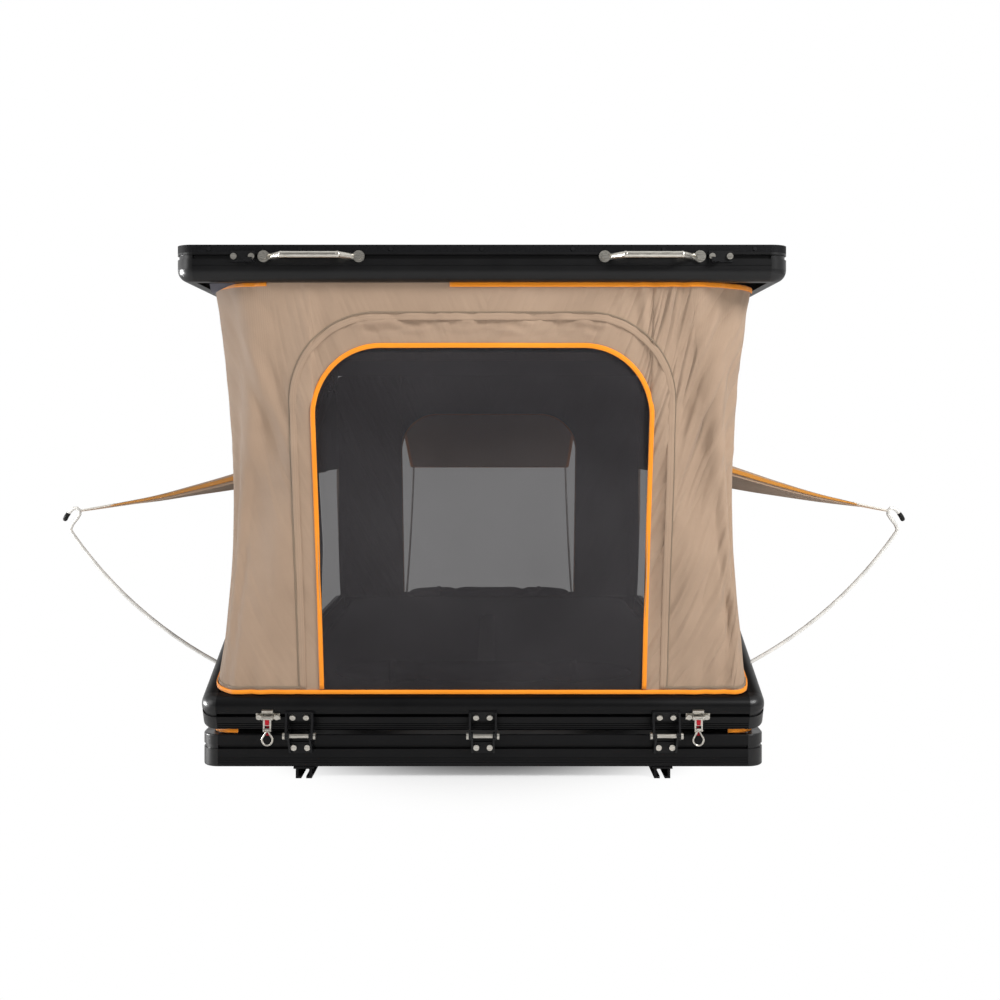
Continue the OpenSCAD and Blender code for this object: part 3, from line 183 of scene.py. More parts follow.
def woven(name, low, mid, high, thread, rough=0.85, sheen=0.08, inside=None, pulled=0.0):
    """Woven cloth: two sets of threads, a slow change of shade and a soft sheen at grazing angles. A dark
    coat on the inner face takes the colour inside; pulled is the depth of its creases in metres."""
    material, tree, shader = finish_of(name, Roughness=rough, Sheen_Weight=sheen, Sheen_Roughness=0.5,
                                       Specular_IOR_Level=0.2)
    place = add(tree, "ShaderNodeTexCoord").outputs["UV"]
    warp, weft = (add(tree, "ShaderNodeTexWave", {"bands_direction": way}, Vector=place, Scale=0.314 / thread,
                      Distortion=1.2, Detail=1.0, Detail_Scale=2.0).outputs["Fac"] for way in "XY")
    cloth = add(tree, "ShaderNodeMath", {"operation": "MAXIMUM"}, i0=warp, i1=weft).outputs[0]
    slow = add(tree, "ShaderNodeTexNoise", Vector=place, Scale=5.0, Detail=5.0, Roughness=0.6).outputs["Fac"]
    calm = add(tree, "ShaderNodeMath", {"operation": "MULTIPLY_ADD"}, i0=slow, i1=0.3, i2=0.34).outputs[0]
    shade = add(tree, "ShaderNodeMath", {"operation": "MULTIPLY_ADD"}, i0=cloth, i1=0.16, i2=calm).outputs[0]
    stops = [(0.38, low), (0.6, mid), (0.85, high)]
    colour = add(tree, "ShaderNodeValToRGB", {"stops": stops}, Fac=shade).outputs["Color"]
    if inside:
        inner = add(tree, "ShaderNodeNewGeometry").outputs["Backfacing"]
        coat = linear(inside)
        colour = add(tree, "ShaderNodeMix", {"data_type": "RGBA"}, i0=inner, i6=colour, i7=coat).outputs[2]
    tree.links.new(colour, shader.inputs["Base Color"])
    bump = add(tree, "ShaderNodeBump", Height=cloth, Strength=0.25, Distance=0.0006)
    if pulled:
        tree.links.new(pulled_creases(tree, place, pulled), bump.inputs["Normal"])
    tree.links.new(bump.outputs["Normal"], shader.inputs["Normal"])
    return material


def insect_mesh(name, alpha):
    """Knitted black insect mesh: partly open, so that the inside shows darkly through it."""
    material, tree, shader = finish_of(name, Roughness=0.8, Alpha=alpha, Specular_IOR_Level=0.15)
    place = add(tree, "ShaderNodeTexCoord").outputs["UV"]
    slow = add(tree, "ShaderNodeTexNoise", Vector=place, Scale=4.0, Detail=3.0).outputs["Fac"]
    knit = add(tree, "ShaderNodeValToRGB", {"stops": [(0.3, "#2a282a"), (0.75, "#383638")]}, Fac=slow)
    tree.links.new(knit.outputs["Color"], shader.inputs["Base Color"])
    return material


# Powder coat on extruded rails: deep black whose edges catch soft light
BLACK = powder_coated_aluminium("powder_coated_aluminium", 0.15)
# The same coat with more gloss on the roof's rails, whose lower bevel shines
ROOF_COAT = powder_coated_aluminium("powder_coated_roof_rail", 0.28)
# The same coat on cast corners, smoother and so with clearer highlights
CAST = powder_coated_aluminium("powder_coated_casting", 0.35)
SHEET = textured_sheet()
# Brushed stainless of handles, latches and bolts: bright, with fine streaks
STAINLESS = steel("brushed_stainless", "#a9a59d", "#d8d4cb", 0.28, (60, 900, 900))
# Drawn rod with a zinc coat: pale and rather dull
DRAWN = steel("zinc_coated_rod", "#d3d1cc", "#ebe9e4", 0.34, (30, 30, 30), metal=0.35)
# Coated steel, paint, moulded plastic and rubber: an even skin with a broad, weak sheen
HARDWARE = moulded("coated_hinge_steel", "#0b0b0c", "#141416", 0.42)
GLOSS = moulded("gloss_strut_tube", "#0f0f10", "#171719", 0.22)
RED = moulded("red_safety_catch", "#8f0f1c", "#ab1a26", 0.35)
RUBBER = moulded("dipped_rubber_tip", "#141414", "#1f1f1f", 0.7)
# Thread spacing is about 0.5 mm on the real canvas, drawn at 2 mm so that it shows
SHADES = "#877363", "#a18974", "#b29a85"
CANVAS = woven("poly_cotton_canvas", *SHADES, 0.002)
LINED = woven("coated_poly_cotton", *SHADES, 0.002, inside="#4b4a49", pulled=0.008)
# Tapes, webbing and elastic: a tight, visible weave with a little more sheen than the canvas
BINDING = woven("orange_binding_tape", "#dd7c12", "#f2901e", "#ffa63a", 0.0016, rough=0.7, sheen=0.15)
WEBBING = woven("black_webbing", "#0e0e0f", "#151516", "#1e1e20", 0.0015, rough=0.8, sheen=0.1)
ELASTIC = woven("pale_elastic_loop", "#b9b2a6", "#cfc8bd", "#e2ddd4", 0.0012, rough=0.7, sheen=0.1)
# The awnings' edge tape: the same orange binding tape, drawn darker and browner as painted shade
SHADED_AWNING_TAPE = woven("binding_tape_with_painted_shade", "#9c6624", "#b4782c", "#c78c3c", 0.0016, rough=0.75, sheen=0.15)
ZIP = woven("zip_tape", "#75655a", "#83725f", "#92806d", 0.0014, rough=0.75, sheen=0.1)
# Coated inner side of the rolled panels, mattress cover and lining: dark and matt
ROLLED = woven("coated_side_of_a_roll", "#1f1e1e", "#282727", "#323131", 0.002)
BED = woven("mattress_cover", "#2b2b2e", "#37373a", "#444448", 0.0018, rough=0.9)
FOLD_CLOTH = woven("grey_lining", "#55535a", "#67656c", "#77757c", 0.002)
PANEL = moulded("sandwich_panel_skin", "#3a3a3c", "#4a4a4c", 0.5)
# Knitted mesh: the door's holds back more light than the open mesh of the rear and side windows
MESH = insect_mesh("knitted_insect_mesh", 0.80)
OPEN_MESH = insect_mesh("open_insect_mesh", 0.35)

# Sizes of the frame, in millimetres, as the solids have them
SHELL_W, SHELL_L, RAIL_H, RAIL_D, SHELL_GAP, OPEN = 1260.0, 2230.0, 72.0, 38.0, 1.0, 23.7
MOUNT_H, PIN_OUT, PIN_RISE = 26.0, 25.0, 3.0
TRAY_SLOT, MID_SLOT = 44.0, 38.0
HALF_W, HALF_L = SHELL_W / 2, SHELL_L / 2
IN_W, IN_L = HALF_W - RAIL_D, HALF_L - RAIL_D
TRAY_TOP = MOUNT_H + RAIL_H
MID_Z = TRAY_TOP + SHELL_GAP
MID_TOP = MID_Z + RAIL_H
LID_Z = MID_TOP + SHELL_GAP
FRONT_PIN = (-HALF_L - PIN_OUT, TRAY_TOP + PIN_RISE)
REAR_PIN = (HALF_L + PIN_OUT, MID_TOP + PIN_RISE)


def turn(p, c, degrees):
    """A point of the side view, turned about c."""
    a = math.radians(degrees)
    y, z = p[0] - c[0], p[1] - c[1]
    return c[0] + y * math.cos(a) - z * math.sin(a), c[1] + y * math.sin(a) + z * math.cos(a)


def mid_open(p):
    """Where a point of the shut middle ring is when the tent is open."""
    return turn(p, FRONT_PIN, OPEN)


LID_SHIFT = tuple(a - b for a, b in zip(mid_open(REAR_PIN), REAR_PIN))
SLOPE = math.tan(math.radians(OPEN))


def mix(a, b, t):
    """From a at 0 to b at 1."""
    return a + (b - a) * t


def clamp(v, lo=0.0, hi=1.0):
    return max(lo, min(hi, v))


def rise(v, lo, hi):
    """0 below lo, 1 above hi, smooth between."""
    t = clamp((v - lo) / (hi - lo))
    return t * t * (3 - 2 * t)


def sin_d(v):
    return math.sin(math.radians(v))


def cos_d(v):
    return math.cos(math.radians(v))


def dress(obj, material):
    """Gives a piece or a solid its one finish."""
    obj.data.materials.clear()
    obj.data.materials.append(material)


def put(obj, body, material, replaces=()):
    """Gives a piece its body, its finish and the solids that it stands for."""
    dress(obj, material)
    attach(obj, body)
    if replaces:
        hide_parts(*replaces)
    return obj


def mesh_piece(name, points, faces, uvs=None, smooth=True):
    """A mesh from points in millimetres."""
    data = bpy.data.meshes.new(name)
    data.from_pydata([tuple(c / 1000 for c in p) for p in points], [], faces)
    if uvs is not None:
        layer = data.uv_layers.new(name="cloth")
        for loop in data.loops:
            layer.data[loop.index].uv = uvs[loop.vertex_index]
    data.polygons.foreach_set("use_smooth", [smooth] * len(data.polygons))
    data.update()
    obj = bpy.data.objects.new(name, data)
    scene.collection.objects.link(obj)
    return obj


def grid_piece(name, columns, keep=lambda i, j: True):
    """A cloth from columns of points, with the cells that keep says; its map is in metres along the cloth."""
    columns = np.array(columns)
    n, m = columns.shape[:2]
    across = np.zeros((n, m))
    across[1:] = np.cumsum(np.linalg.norm(np.diff(columns, axis=0), axis=2), axis=0)
    up = np.zeros((n, m))
    up[:, 1:] = np.cumsum(np.linalg.norm(np.diff(columns, axis=1), axis=2), axis=1)
    across = np.repeat(across[:, m // 2][:, None], m, axis=1)
    faces = [(i * m + j, (i + 1) * m + j, (i + 1) * m + j + 1, i * m + j + 1)
             for i in range(n - 1) for j in range(m - 1) if keep(i, j)]
    used = sorted({v for f in faces for v in f})
    index = {v: q for q, v in enumerate(used)}
    flat = columns.reshape(-1, 3)
    uvs = np.stack([across.ravel(), up.ravel()], axis=1) / 1000
    return mesh_piece(name, [flat[v] for v in used], [tuple(index[v] for v in f) for f in faces],
                      [tuple(uvs[v]) for v in used])


def face_out(obj):
    """Turns a wall's faces so that their outer side is away from the part's middle."""
    middle = np.mean([v.co for v in obj.data.vertices], axis=0)
    if sum(np.dot(f.normal, np.array(f.center) - middle) for f in obj.data.polygons) < 0:
        obj.data.flip_normals()
    return obj


def tube_faces(rings, sides):
    """Faces of a tube of rings of points, with both ends closed."""
    faces = []
    for i in range(rings - 1):
        for q in range(sides):
            a, b = i * sides + q, i * sides + (q + 1) % sides
            faces.append((a, b, b + sides, a + sides))
    last = (rings - 1) * sides
    return faces + [tuple(range(sides - 1, -1, -1)), tuple(last + q for q in range(sides))]


def strip_piece(name, path, outs, wide, thick, sides=10, wide_end=None):
    """A tape of half-round section along a path, its flat side on the cloth; outs point off the cloth."""
    path, outs = np.array(path, float), np.array(outs, float)
    n = len(path)
    points, uvs, along = [], [], 0.0
    for i in range(n):
        t = path[min(i + 1, n - 1)] - path[max(i - 1, 0)]
        t /= np.linalg.norm(t)
        o = outs[i] - t * outs[i].dot(t)
        o /= np.linalg.norm(o)
        s = np.cross(t, o)
        if i:
            along += np.linalg.norm(path[i] - path[i - 1])
        across = mix(wide, wide_end or wide, i / (n - 1))
        for q in range(sides):
            a = 2 * math.pi * q / sides
            c, e = math.cos(a), math.sin(a)
            flat = math.copysign(abs(c) ** 0.6, c), math.copysign(abs(e) ** 0.8, e)
            points.append(path[i] + s * flat[0] * across / 2 + o * (flat[1] + 1) * thick / 2)
            uvs.append((along / 1000, q * wide / sides / 500))
    return mesh_piece(name, points, tube_faces(n, sides), uvs)


# Upper canvas wall: k counts the frame's columns from the door's middle, w is the share of the height
DOOR_COLS, ARC_START, ARC_COLS, NEAR_COL, FAR_COL, LAST_COL = 5, 7, 4, 12, 17, 20
DOOR_HALF, DOOR_DROP, DOOR_R = 357.0, 130.0, 148.0
LOW_X, TOP_X, LOW_R, TOP_R = IN_W + 5, IN_W - 8.5, 40.0, 150.0
CLOTH_GAP, WAIST, FOLD = 0.3, 43.0, 7.0
LOW_FRONT = mid_open((-IN_L - 5, MID_TOP))
TOP_FRONT = LID_SHIFT[0] - HALF_L + 30
ROOF_LOW = LID_Z + LID_SHIFT[1] - CLOTH_GAP
RING_EDGE = mid_open((-HALF_L, MID_TOP))
NEAR_Y, FAR_Y, END_Y = 112 - HALF_L, 780 - HALF_L, IN_L + LID_SHIFT[0]
SIDE_DROP, SIDE_FALL, SIDE_SILL, PLAIN_SILL = 402.0, 50.0, 66.0, 0.18
DOOR_TOP = ROOF_LOW - DOOR_DROP
UP_ROWS = (0, 2, 7, 10)
SEAM_HALF, SEAM_TOP, SEAM_R = 410.0, 1022.0, 190.0


def ring_top(y):
    """Height of the open middle ring's upper face."""
    return RING_EDGE[1] + (y - RING_EDGE[0]) * SLOPE + CLOTH_GAP / cos_d(OPEN)


def arc_angle(k):
    """Angle in degrees that the wall has turned at a column of its front corner."""
    return clamp(90 * (k - ARC_START) / ARC_COLS, 0, 90)


def column_x(k, x, r):
    """Place across of a column, on a level whose side is at x and whose corner has the radius r."""
    if k <= DOOR_COLS:
        return DOOR_HALF * sin_d(90 * k / DOOR_COLS)
    if k < ARC_START:
        return mix(DOOR_HALF, x - r, (k - DOOR_COLS) / (ARC_START - DOOR_COLS))
    return x - r + r * sin_d(arc_angle(k))


def column_y(k, y, r):
    """Place along the tent of a column, on a level whose front is at y."""
    if k <= NEAR_COL - 1:
        return y + r - r * cos_d(arc_angle(k))
    if k < NEAR_COL:
        return mix(y + r, NEAR_Y, k - NEAR_COL + 1)
    if k <= FAR_COL:
        return mix(NEAR_Y, FAR_Y, (k - NEAR_COL) / (FAR_COL - NEAR_COL))
    return mix(FAR_Y, END_Y, (k - FAR_COL) / (LAST_COL - FAR_COL))


def low_point(k):
    """A column's foot on the middle ring."""
    y = column_y(k, LOW_FRONT[0], LOW_R)
    return np.array([column_x(k, LOW_X, LOW_R), y, ring_top(y)])


def top_point(k):
    """A column's head under the roof."""
    return np.array([column_x(k, TOP_X, TOP_R), column_y(k, TOP_FRONT, TOP_R), ROOF_LOW])


def arch_drop(x, half, r):
    """How far an arch has come down from its crown, x from its middle."""
    return 0.0 if x <= half - r else r - math.sqrt(max(0.0, r * r - (min(x, half) - half + r) ** 2))


def window_top(k):
    """Height of a side window's upper edge, which falls a little to the rear."""
    return ROOF_LOW - SIDE_DROP - SIDE_FALL * (k - NEAR_COL) / (FAR_COL - NEAR_COL)


def split_shares(k):
    """Shares of the height at the sill row and at the row of the door's arch or the window's top."""
    z0 = low_point(k)[2]
    h = ROOF_LOW - z0
    if k <= DOOR_COLS:
        return PLAIN_SILL, (DOOR_TOP - arch_drop(column_x(k, LOW_X, LOW_R), DOOR_HALF, DOOR_R) - z0) / h
    if k <= NEAR_COL:
        z = mix(DOOR_TOP - DOOR_R, window_top(NEAR_COL), (k - DOOR_COLS) / (NEAR_COL - DOOR_COLS))
        return mix(PLAIN_SILL, SIDE_SILL / h, clamp(k - NEAR_COL + 1)), (z - z0) / h
    if k <= FAR_COL:
        return SIDE_SILL / h, (window_top(k) - z0) / h
    t = clamp(k - FAR_COL)
    return mix(SIDE_SILL / h, PLAIN_SILL, t), mix((window_top(FAR_COL) - z0) / h, 0.7, t)


def share_at(k, j):
    """Share of the wall's height at a row."""
    sill, split = split_shares(k)
    if j <= UP_ROWS[1]:
        return sill * j / UP_ROWS[1]
    if j <= UP_ROWS[2]:
        return mix(sill, split, (j - UP_ROWS[1]) / (UP_ROWS[2] - UP_ROWS[1]))
    return mix(split, 1, (j - UP_ROWS[2]) / (UP_ROWS[3] - UP_ROWS[2]))


def waist_share(k):
    """How much of the waist a column takes: none at the door, all at the front corner."""
    if k <= DOOR_COLS:
        return 0.0
    if k < NEAR_COL - 1:
        return sin_d(90 * (k - DOOR_COLS) / (NEAR_COL - 1 - DOOR_COLS))
    if k < NEAR_COL:
        return mix(1.0, 0.8, k - NEAR_COL + 1)
    return mix(0.8, 0, (k - NEAR_COL) / (LAST_COL - NEAR_COL))


def main_fold(k, w):
    """Slow folds that run round the wall, in millimetres inward."""
    fold = FOLD * sin_d(150 * k + 250 * w) * sin_d(180 * w)
    return w * w * fold if k <= DOOR_COLS else fold


# Long creases of the front wall: start, middle and end across and up, half width and depth in millimetres
CREASES = (
    ((-527, 1076), (-484, 926), (-415, 700), 26, 7.0), ((-545, 1060), (-520, 900), (-500, 700), 30, 3.5),
    ((-440, 931), (-425, 880), (-418, 830), 20, 2.0), ((-480, 700), (-470, 560), (-462, 380), 34, 2.5),
    ((-330, 1080), (-318, 1020), (-322, 960), 16, 1.4), ((531, 1066), (490, 950), (425, 790), 20, 7.0),
    ((543, 1016), (508, 920), (462, 815), 18, 6.0), ((524, 880), (500, 800), (476, 700), 20, 5.5),
    ((500, 1070), (478, 1020), (400, 945), 18, 4.0), ((458, 1064), (440, 1030), (415, 990), 14, 3.5),
    ((362, 1078), (360, 1030), (358, 985), 11, 3.0), ((330, 1078), (330, 1020), (333, 965), 11, 2.6),
    ((300, 1076), (285, 1050), (262, 1030), 12, 2.4), ((395, 1078), (385, 1020), (372, 970), 13, 3.0),
    ((376, 920), (366, 870), (362, 800), 14, 3.0), ((452, 832), (438, 795), (420, 750), 15, 4.0),
    ((490, 700), (470, 560), (452, 400), 30, 4.0), ((535, 640), (520, 480), (505, 300), 26, 3.0),
    ((440, 560), (432, 420), (428, 260), 22, 2.5), ((556, 420), (552, 300), (540, 165), 16, 6.0),
    ((392, 760), (388, 560), (386, 240), 16, 3.0),
)


# Depths in millimetres of the wall's smaller folds, gain of the long ones, and the slant of pulled creases
PLEAT, GATHER, PUCKER, PULL_BROAD, PULL_FINE, SWELL, CREASE_GAIN = 1.8, 3.0, 6.5, 5.0, 2.4, 1.6, 2.2
SLANT_COS, SLANT_SIN = 0.91, 0.42


def crease(x, z, start, middle, end, wide, deep):
    """A step fold along a bent line: proud on its right, sunk on its left, fading at its ends."""
    t = clamp((start[1] - z) / (start[1] - end[1]), -0.3, 1.3)
    bend = 2 * middle[0] - (start[0] + end[0]) / 2
    line = (1 - t) ** 2 * start[0] + 2 * t * (1 - t) * bend + t * t * end[0]
    off = (x - line) / wide
    fade = rise(t, -0.08, 0.12) * (1 - rise(t, 0.7, 1.12))
    return -deep * fade * CREASE_GAIN * off * math.exp(-off * off)


def wrinkles(side, k, w, x, z):
    """Creases of the front wall in millimetres, inward: long folds from the roof's corners, pleats under the
    upper binding, gathers at the lower corners and short puckers over the door."""
    s = side * x
    front = 1 - rise(k, ARC_START + 2.5, ARC_START + ARC_COLS)
    by = front * sum(crease(s, z, *c) for c in CREASES if abs(z - (c[0][1] + c[2][1]) / 2) < 320)
    # Pleats under the upper binding, on the right
    pleat = rise(w, 0.88, 0.985) * (0.15 + 0.85 * rise(s, 200, 330))
    by += PLEAT * pleat * math.sin(s / 8.0 + 2.0 * noise.noise((s / 60, 0, 3)))
    # Gathers over the lower binding at the corners
    by += GATHER * (1 - rise(w, 0.03, 0.13)) * rise(x, 380, 520) * math.sin(s / 8.5)
    # Short puckers between the seam and the door's arch
    over = rise(z, DOOR_TOP + 8, DOOR_TOP + 40) * (1 - rise(z, SEAM_TOP - 14, SEAM_TOP))
    over *= 1 - rise(x, 230, 330)
    by += PUCKER * over * (noise.noise((s / 30, z / 16, 7.0)) + 0.5 * noise.noise((s / 14, z / 9, 2.0)))
    # Fine pulled creases that run from the roof's corners down toward the door
    across, along = SLANT_COS * x - SLANT_SIN * z, SLANT_SIN * x + SLANT_COS * z
    pulled = front * rise(x, DOOR_HALF - 10, DOOR_HALF + 60) * (0.35 + 0.65 * rise(z, 420, 800))
    pulled *= 1.0 if s > 0 else 0.55
    broad = PULL_BROAD * noise.noise((across / 24, along / 260, side * 9.0))
    by += pulled * (broad + PULL_FINE * noise.noise((across / 10, along / 150, 5.0)))
    by += SWELL * noise.noise((s / 80, z / 110, 1.0)) * sin_d(180 * w)
    return by


def upper_at(side, k, w, d):
    """A point of the wall, d millimetres inside its outer face."""
    a = arc_angle(k)
    inward = np.array([-sin_d(a), cos_d(a), 0.0])
    p = mix(low_point(k), top_point(k), w)
    drawn_in = WAIST * waist_share(k) * sin_d(180 * w)
    p = p + inward * (d + drawn_in + main_fold(k, w) + wrinkles(side, k, w, p[0], p[2]))
    p[2] += (1 - w) * SLOPE * d * inward[1]
    return np.array([side * p[0], p[1], p[2]])


def outward(side, k):
    """Direction off the wall's outer face at a column."""
    a = arc_angle(k)
    return np.array([side * sin_d(a), -cos_d(a), 0.0])


FINE_K, FINE_J = 10, 10
UP_K = [q / FINE_K for q in range(LAST_COL * FINE_K + 1)]
UP_J = [q / FINE_J for q in range(UP_ROWS[3] * FINE_J + 1)]


def upper_columns(d):
    """Points of the whole wall, from its left end round the front to its right end."""
    right = [[upper_at(1, k, share_at(k, j), d) for j in UP_J] for k in UP_K]
    left = [[upper_at(-1, k, share_at(k, j), d) for j in UP_J] for k in UP_K[:0:-1]]
    return left + right


def upper_hole(i, j):
    """Whether a cell is in the door or a side window."""
    c = i - LAST_COL * FINE_K
    k = (c if c >= 0 else -c - 1) // FINE_K
    r = j // FINE_J
    return (k < DOOR_COLS and r < UP_ROWS[2]) or (NEAR_COL <= k < FAR_COL and UP_ROWS[1] <= r < UP_ROWS[2])


# Depth in millimetres of the insect mesh behind the walls' outer faces
NET_IN = 1.5


def on_middle(obj, material, replaces=(), slot=None):
    """A piece of the upper wall: it rides on the middle ring."""
    put(obj, "middle", material, replaces)
    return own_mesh(obj)


wall = face_out(grid_piece("upper_wall", upper_columns(0), lambda i, j: not upper_hole(i, j)))
upper_net = grid_piece("upper_net", upper_columns(NET_IN), upper_hole)
on_middle(wall, LINED, ["upper_canvas"], "canvas")
on_middle(upper_net, MESH, ["upper_mesh"], "mesh")


def front_k(x, w):
    """The wall's column at a distance x from the door's middle."""
    if x <= DOOR_HALF:
        return DOOR_COLS * math.degrees(math.asin(x / DOOR_HALF)) / 90
    start = mix(LOW_X - LOW_R, TOP_X - TOP_R, w)
    return DOOR_COLS + 2 * (x - DOOR_HALF) / (start - DOOR_HALF)


def front_at(x, z):
    """A point of the front wall by its place across and up."""
    w = clamp((z - LOW_FRONT[1]) / (ROOF_LOW - LOW_FRONT[1]))
    side = 1 if x >= 0 else -1
    return upper_at(side, front_k(abs(x), w), w, 0)


def arch_path(half, top, r, foot, step=10.0):
    """Places across and up along an arch from its left foot to its right foot."""
    z = foot
    path = []
    while z < top - r:
        path.append((-half, z))
        z += step
    turns = max(6, int(r * math.pi / 2 / step))
    angles = [90 * q / turns for q in range(turns + 1)]
    path += [(-half + r - r * cos_d(a), top - r + r * sin_d(a)) for a in angles]
    right = [(-x, z) for x, z in reversed(path)]
    span = int((2 * (half - r)) / step)
    bridge = [(mix(path[-1][0], right[0][0], q / span), top) for q in range(1, span)]
    return path + bridge + right


def front_strip(name, places, wide, thick, material):
    """A tape or zip on the front wall."""
    path = [front_at(x, z) for x, z in places]
    return put(strip_piece(name, path, [(0, -1, 0)] * len(path), wide, thick), "middle", material)


FOOT = LOW_FRONT[1] + 12
door_edge = arch_path(DOOR_HALF + 2, DOOR_TOP + 2, DOOR_R, FOOT)
door_binding = front_strip("door_binding", door_edge, 10.5, 4, BINDING)
seam = front_strip("door_seam", arch_path(SEAM_HALF, SEAM_TOP, SEAM_R, FOOT), 3.5, 1.4, ZIP)
flap_line = arch_path(SEAM_HALF - 9, SEAM_TOP - 9, SEAM_R - 8, FOOT)
seam_flap = front_strip("seam_flap", flap_line, 15, 2.2, CANVAS)


# Levels of the tapes and zips as shares of the wall's height, and the steps along them
LOW_EDGE, ZIP_LEVEL, TOP_EDGE, EDGE_STEPS = 0.005, 0.017, 0.996, 160


def edge_path(w, start, end):
    """Points along a level of the wall with their outward directions; columns below 0 are on the left."""
    ks = [mix(start, end, q / EDGE_STEPS) for q in range(EDGE_STEPS + 1)]
    return [(upper_at(1 if k >= 0 else -1, abs(k), w, 0), outward(1 if k >= 0 else -1, abs(k))) for k in ks]


def edge_strip(name, w, start, end, wide, thick, material=BINDING):
    """A tape along a level of the wall, between two columns."""
    pairs = edge_path(w, start, end)
    path, outs = zip(*pairs)
    return put(strip_piece(name, path, outs, wide, thick), "middle", material)


low_binding = edge_strip("low_binding", LOW_EDGE, 0.5 - FAR_COL, FAR_COL - 0.5, 10, 4)
top_right = edge_strip("top_binding_right", TOP_EDGE, -0.6, NEAR_COL - 1.5, 11, 4)
top_left = edge_strip("top_binding_left", TOP_EDGE, 1.5 - NEAR_COL, -7.2, 8, 3)
zip_left = edge_strip("low_zip_left", ZIP_LEVEL, 1.5 - NEAR_COL, -DOOR_COLS - 0.4, 5, 2, ZIP)
zip_right = edge_strip("low_zip_right", ZIP_LEVEL, DOOR_COLS + 0.4, NEAR_COL - 1.5, 5, 2, ZIP)
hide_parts("front_trim")
for tape in (door_binding, seam, seam_flap, low_binding, top_right, top_left, zip_left, zip_right):
    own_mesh(tape)

# Strip that shuts the narrow rear end of the wall between the ring and the roof
END_GAP, END_ROWS = 4.0, 4
low, high = ring_top(END_Y - END_GAP), ROOF_LOW
columns = [[(x, END_Y - END_GAP, mix(low, high, j / END_ROWS)) for j in range(END_ROWS + 1)]
           for x in np.linspace(-TOP_X + END_GAP, TOP_X - END_GAP, 60)]
rear_strip = grid_piece("rear_strip", columns)
on_middle(rear_strip, LINED)

# Lower canvas wall: k counts the columns from the rear window's middle to the front
LOW_REAR = IN_L + 5
TOP_REAR = mid_open((IN_L + 5, MID_Z))[0]
UNDER_EDGE = mid_open((-HALF_L, MID_Z))
REAR_COLS, TURN_START, TURN_COLS, SIDE_COL, SIDE_END, FORE_COL = 4, 6, 2, 9, 12, 17
WINDOW_HALF, WINDOW_H, WINDOW_R, SILL = 350.0, 725.0, 150.0, 18.0
SIDE_Y0, SIDE_Y1, SIDE_H = 497.0, 1000.0, 510.0
SILL_Z = TRAY_TOP + SILL
LO_ROWS = (0, 2, 6, 8)


def ring_low(y):
    """Height of the open middle ring's lower face."""
    return UNDER_EDGE[1] + (y - UNDER_EDGE[0]) * SLOPE - CLOTH_GAP / cos_d(OPEN)


def turn_angle(k):
    """Angle in degrees that the lower wall has turned at a column of its rear corner."""
    return clamp(90 * (k - TURN_START) / TURN_COLS, 0, 90)


def rear_x(k):
    """Place across of a column of the lower wall."""
    if k <= REAR_COLS:
        return WINDOW_HALF * sin_d(90 * k / REAR_COLS)
    if k < TURN_START:
        return mix(WINDOW_HALF, LOW_X - LOW_R, (k - REAR_COLS) / (TURN_START - REAR_COLS))
    return LOW_X - LOW_R + LOW_R * sin_d(turn_angle(k))


def rear_y(k):
    """Place along the tent of a column's foot."""
    if k <= SIDE_COL - 1:
        return LOW_REAR - LOW_R + LOW_R * cos_d(turn_angle(k))
    if k < SIDE_COL:
        return mix(LOW_REAR - LOW_R, SIDE_Y1, k - SIDE_COL + 1)
    if k <= SIDE_END:
        return mix(SIDE_Y1, SIDE_Y0, (k - SIDE_COL) / (SIDE_END - SIDE_COL))
    return mix(SIDE_Y0, -IN_L, (k - SIDE_END) / (FORE_COL - SIDE_END))


def lean_y(y):
    """Place along the tent of a column's head: the rear leans in with the ring."""
    return y * TOP_REAR / LOW_REAR if y > 0 else y


def lower_share(k, j):
    """Share of the lower wall's height at a row."""
    z0 = TRAY_TOP + CLOTH_GAP
    h = ring_low(lean_y(rear_y(k))) - z0
    if k <= REAR_COLS:
        top = SILL_Z + WINDOW_H - arch_drop(rear_x(k), WINDOW_HALF, WINDOW_R)
    elif k <= SIDE_COL:
        top = mix(SILL_Z + WINDOW_H - WINDOW_R, SILL_Z + SIDE_H, (k - REAR_COLS) / (SIDE_COL - REAR_COLS))
    else:
        top = SILL_Z + SIDE_H
    past = clamp(k - SIDE_END)
    sill, split = mix((SILL_Z - z0) / h, 0.25, past), mix((top - z0) / h, 0.75, past)
    if j <= LO_ROWS[1]:
        return sill * j / LO_ROWS[1]
    if j <= LO_ROWS[2]:
        return mix(sill, split, (j - LO_ROWS[1]) / (LO_ROWS[2] - LO_ROWS[1]))
    return mix(split, 1, (j - LO_ROWS[2]) / (LO_ROWS[3] - LO_ROWS[2]))


def lower_at(side, k, w, d):
    """A point of the lower wall, d millimetres inside its outer face."""
    y0 = rear_y(k)
    y1 = lean_y(y0)
    a = turn_angle(k)
    out = np.array([sin_d(a), cos_d(a), 0.0])
    p = mix(np.array([rear_x(k), y0, TRAY_TOP + CLOTH_GAP]), np.array([rear_x(k), y1, ring_low(y1)]), w)
    fold = 0.0 if k <= REAR_COLS else FOLD * sin_d(150 * k + 250 * w) * sin_d(180 * w)
    fold += 3.0 * noise.noise((p[0] / 120 * side, p[1] / 120, p[2] / 160)) * sin_d(180 * w) * rise(k, 0, 1)
    p = p - out * (d + fold * rise(k, REAR_COLS, REAR_COLS + 1))
    p[2] -= w * SLOPE * d * out[1]
    return np.array([side * p[0], p[1], p[2]])


LO_K = [q / FINE_K for q in range(FORE_COL * FINE_K + 1)]
LO_J = [q / FINE_J for q in range(LO_ROWS[3] * FINE_J + 1)]


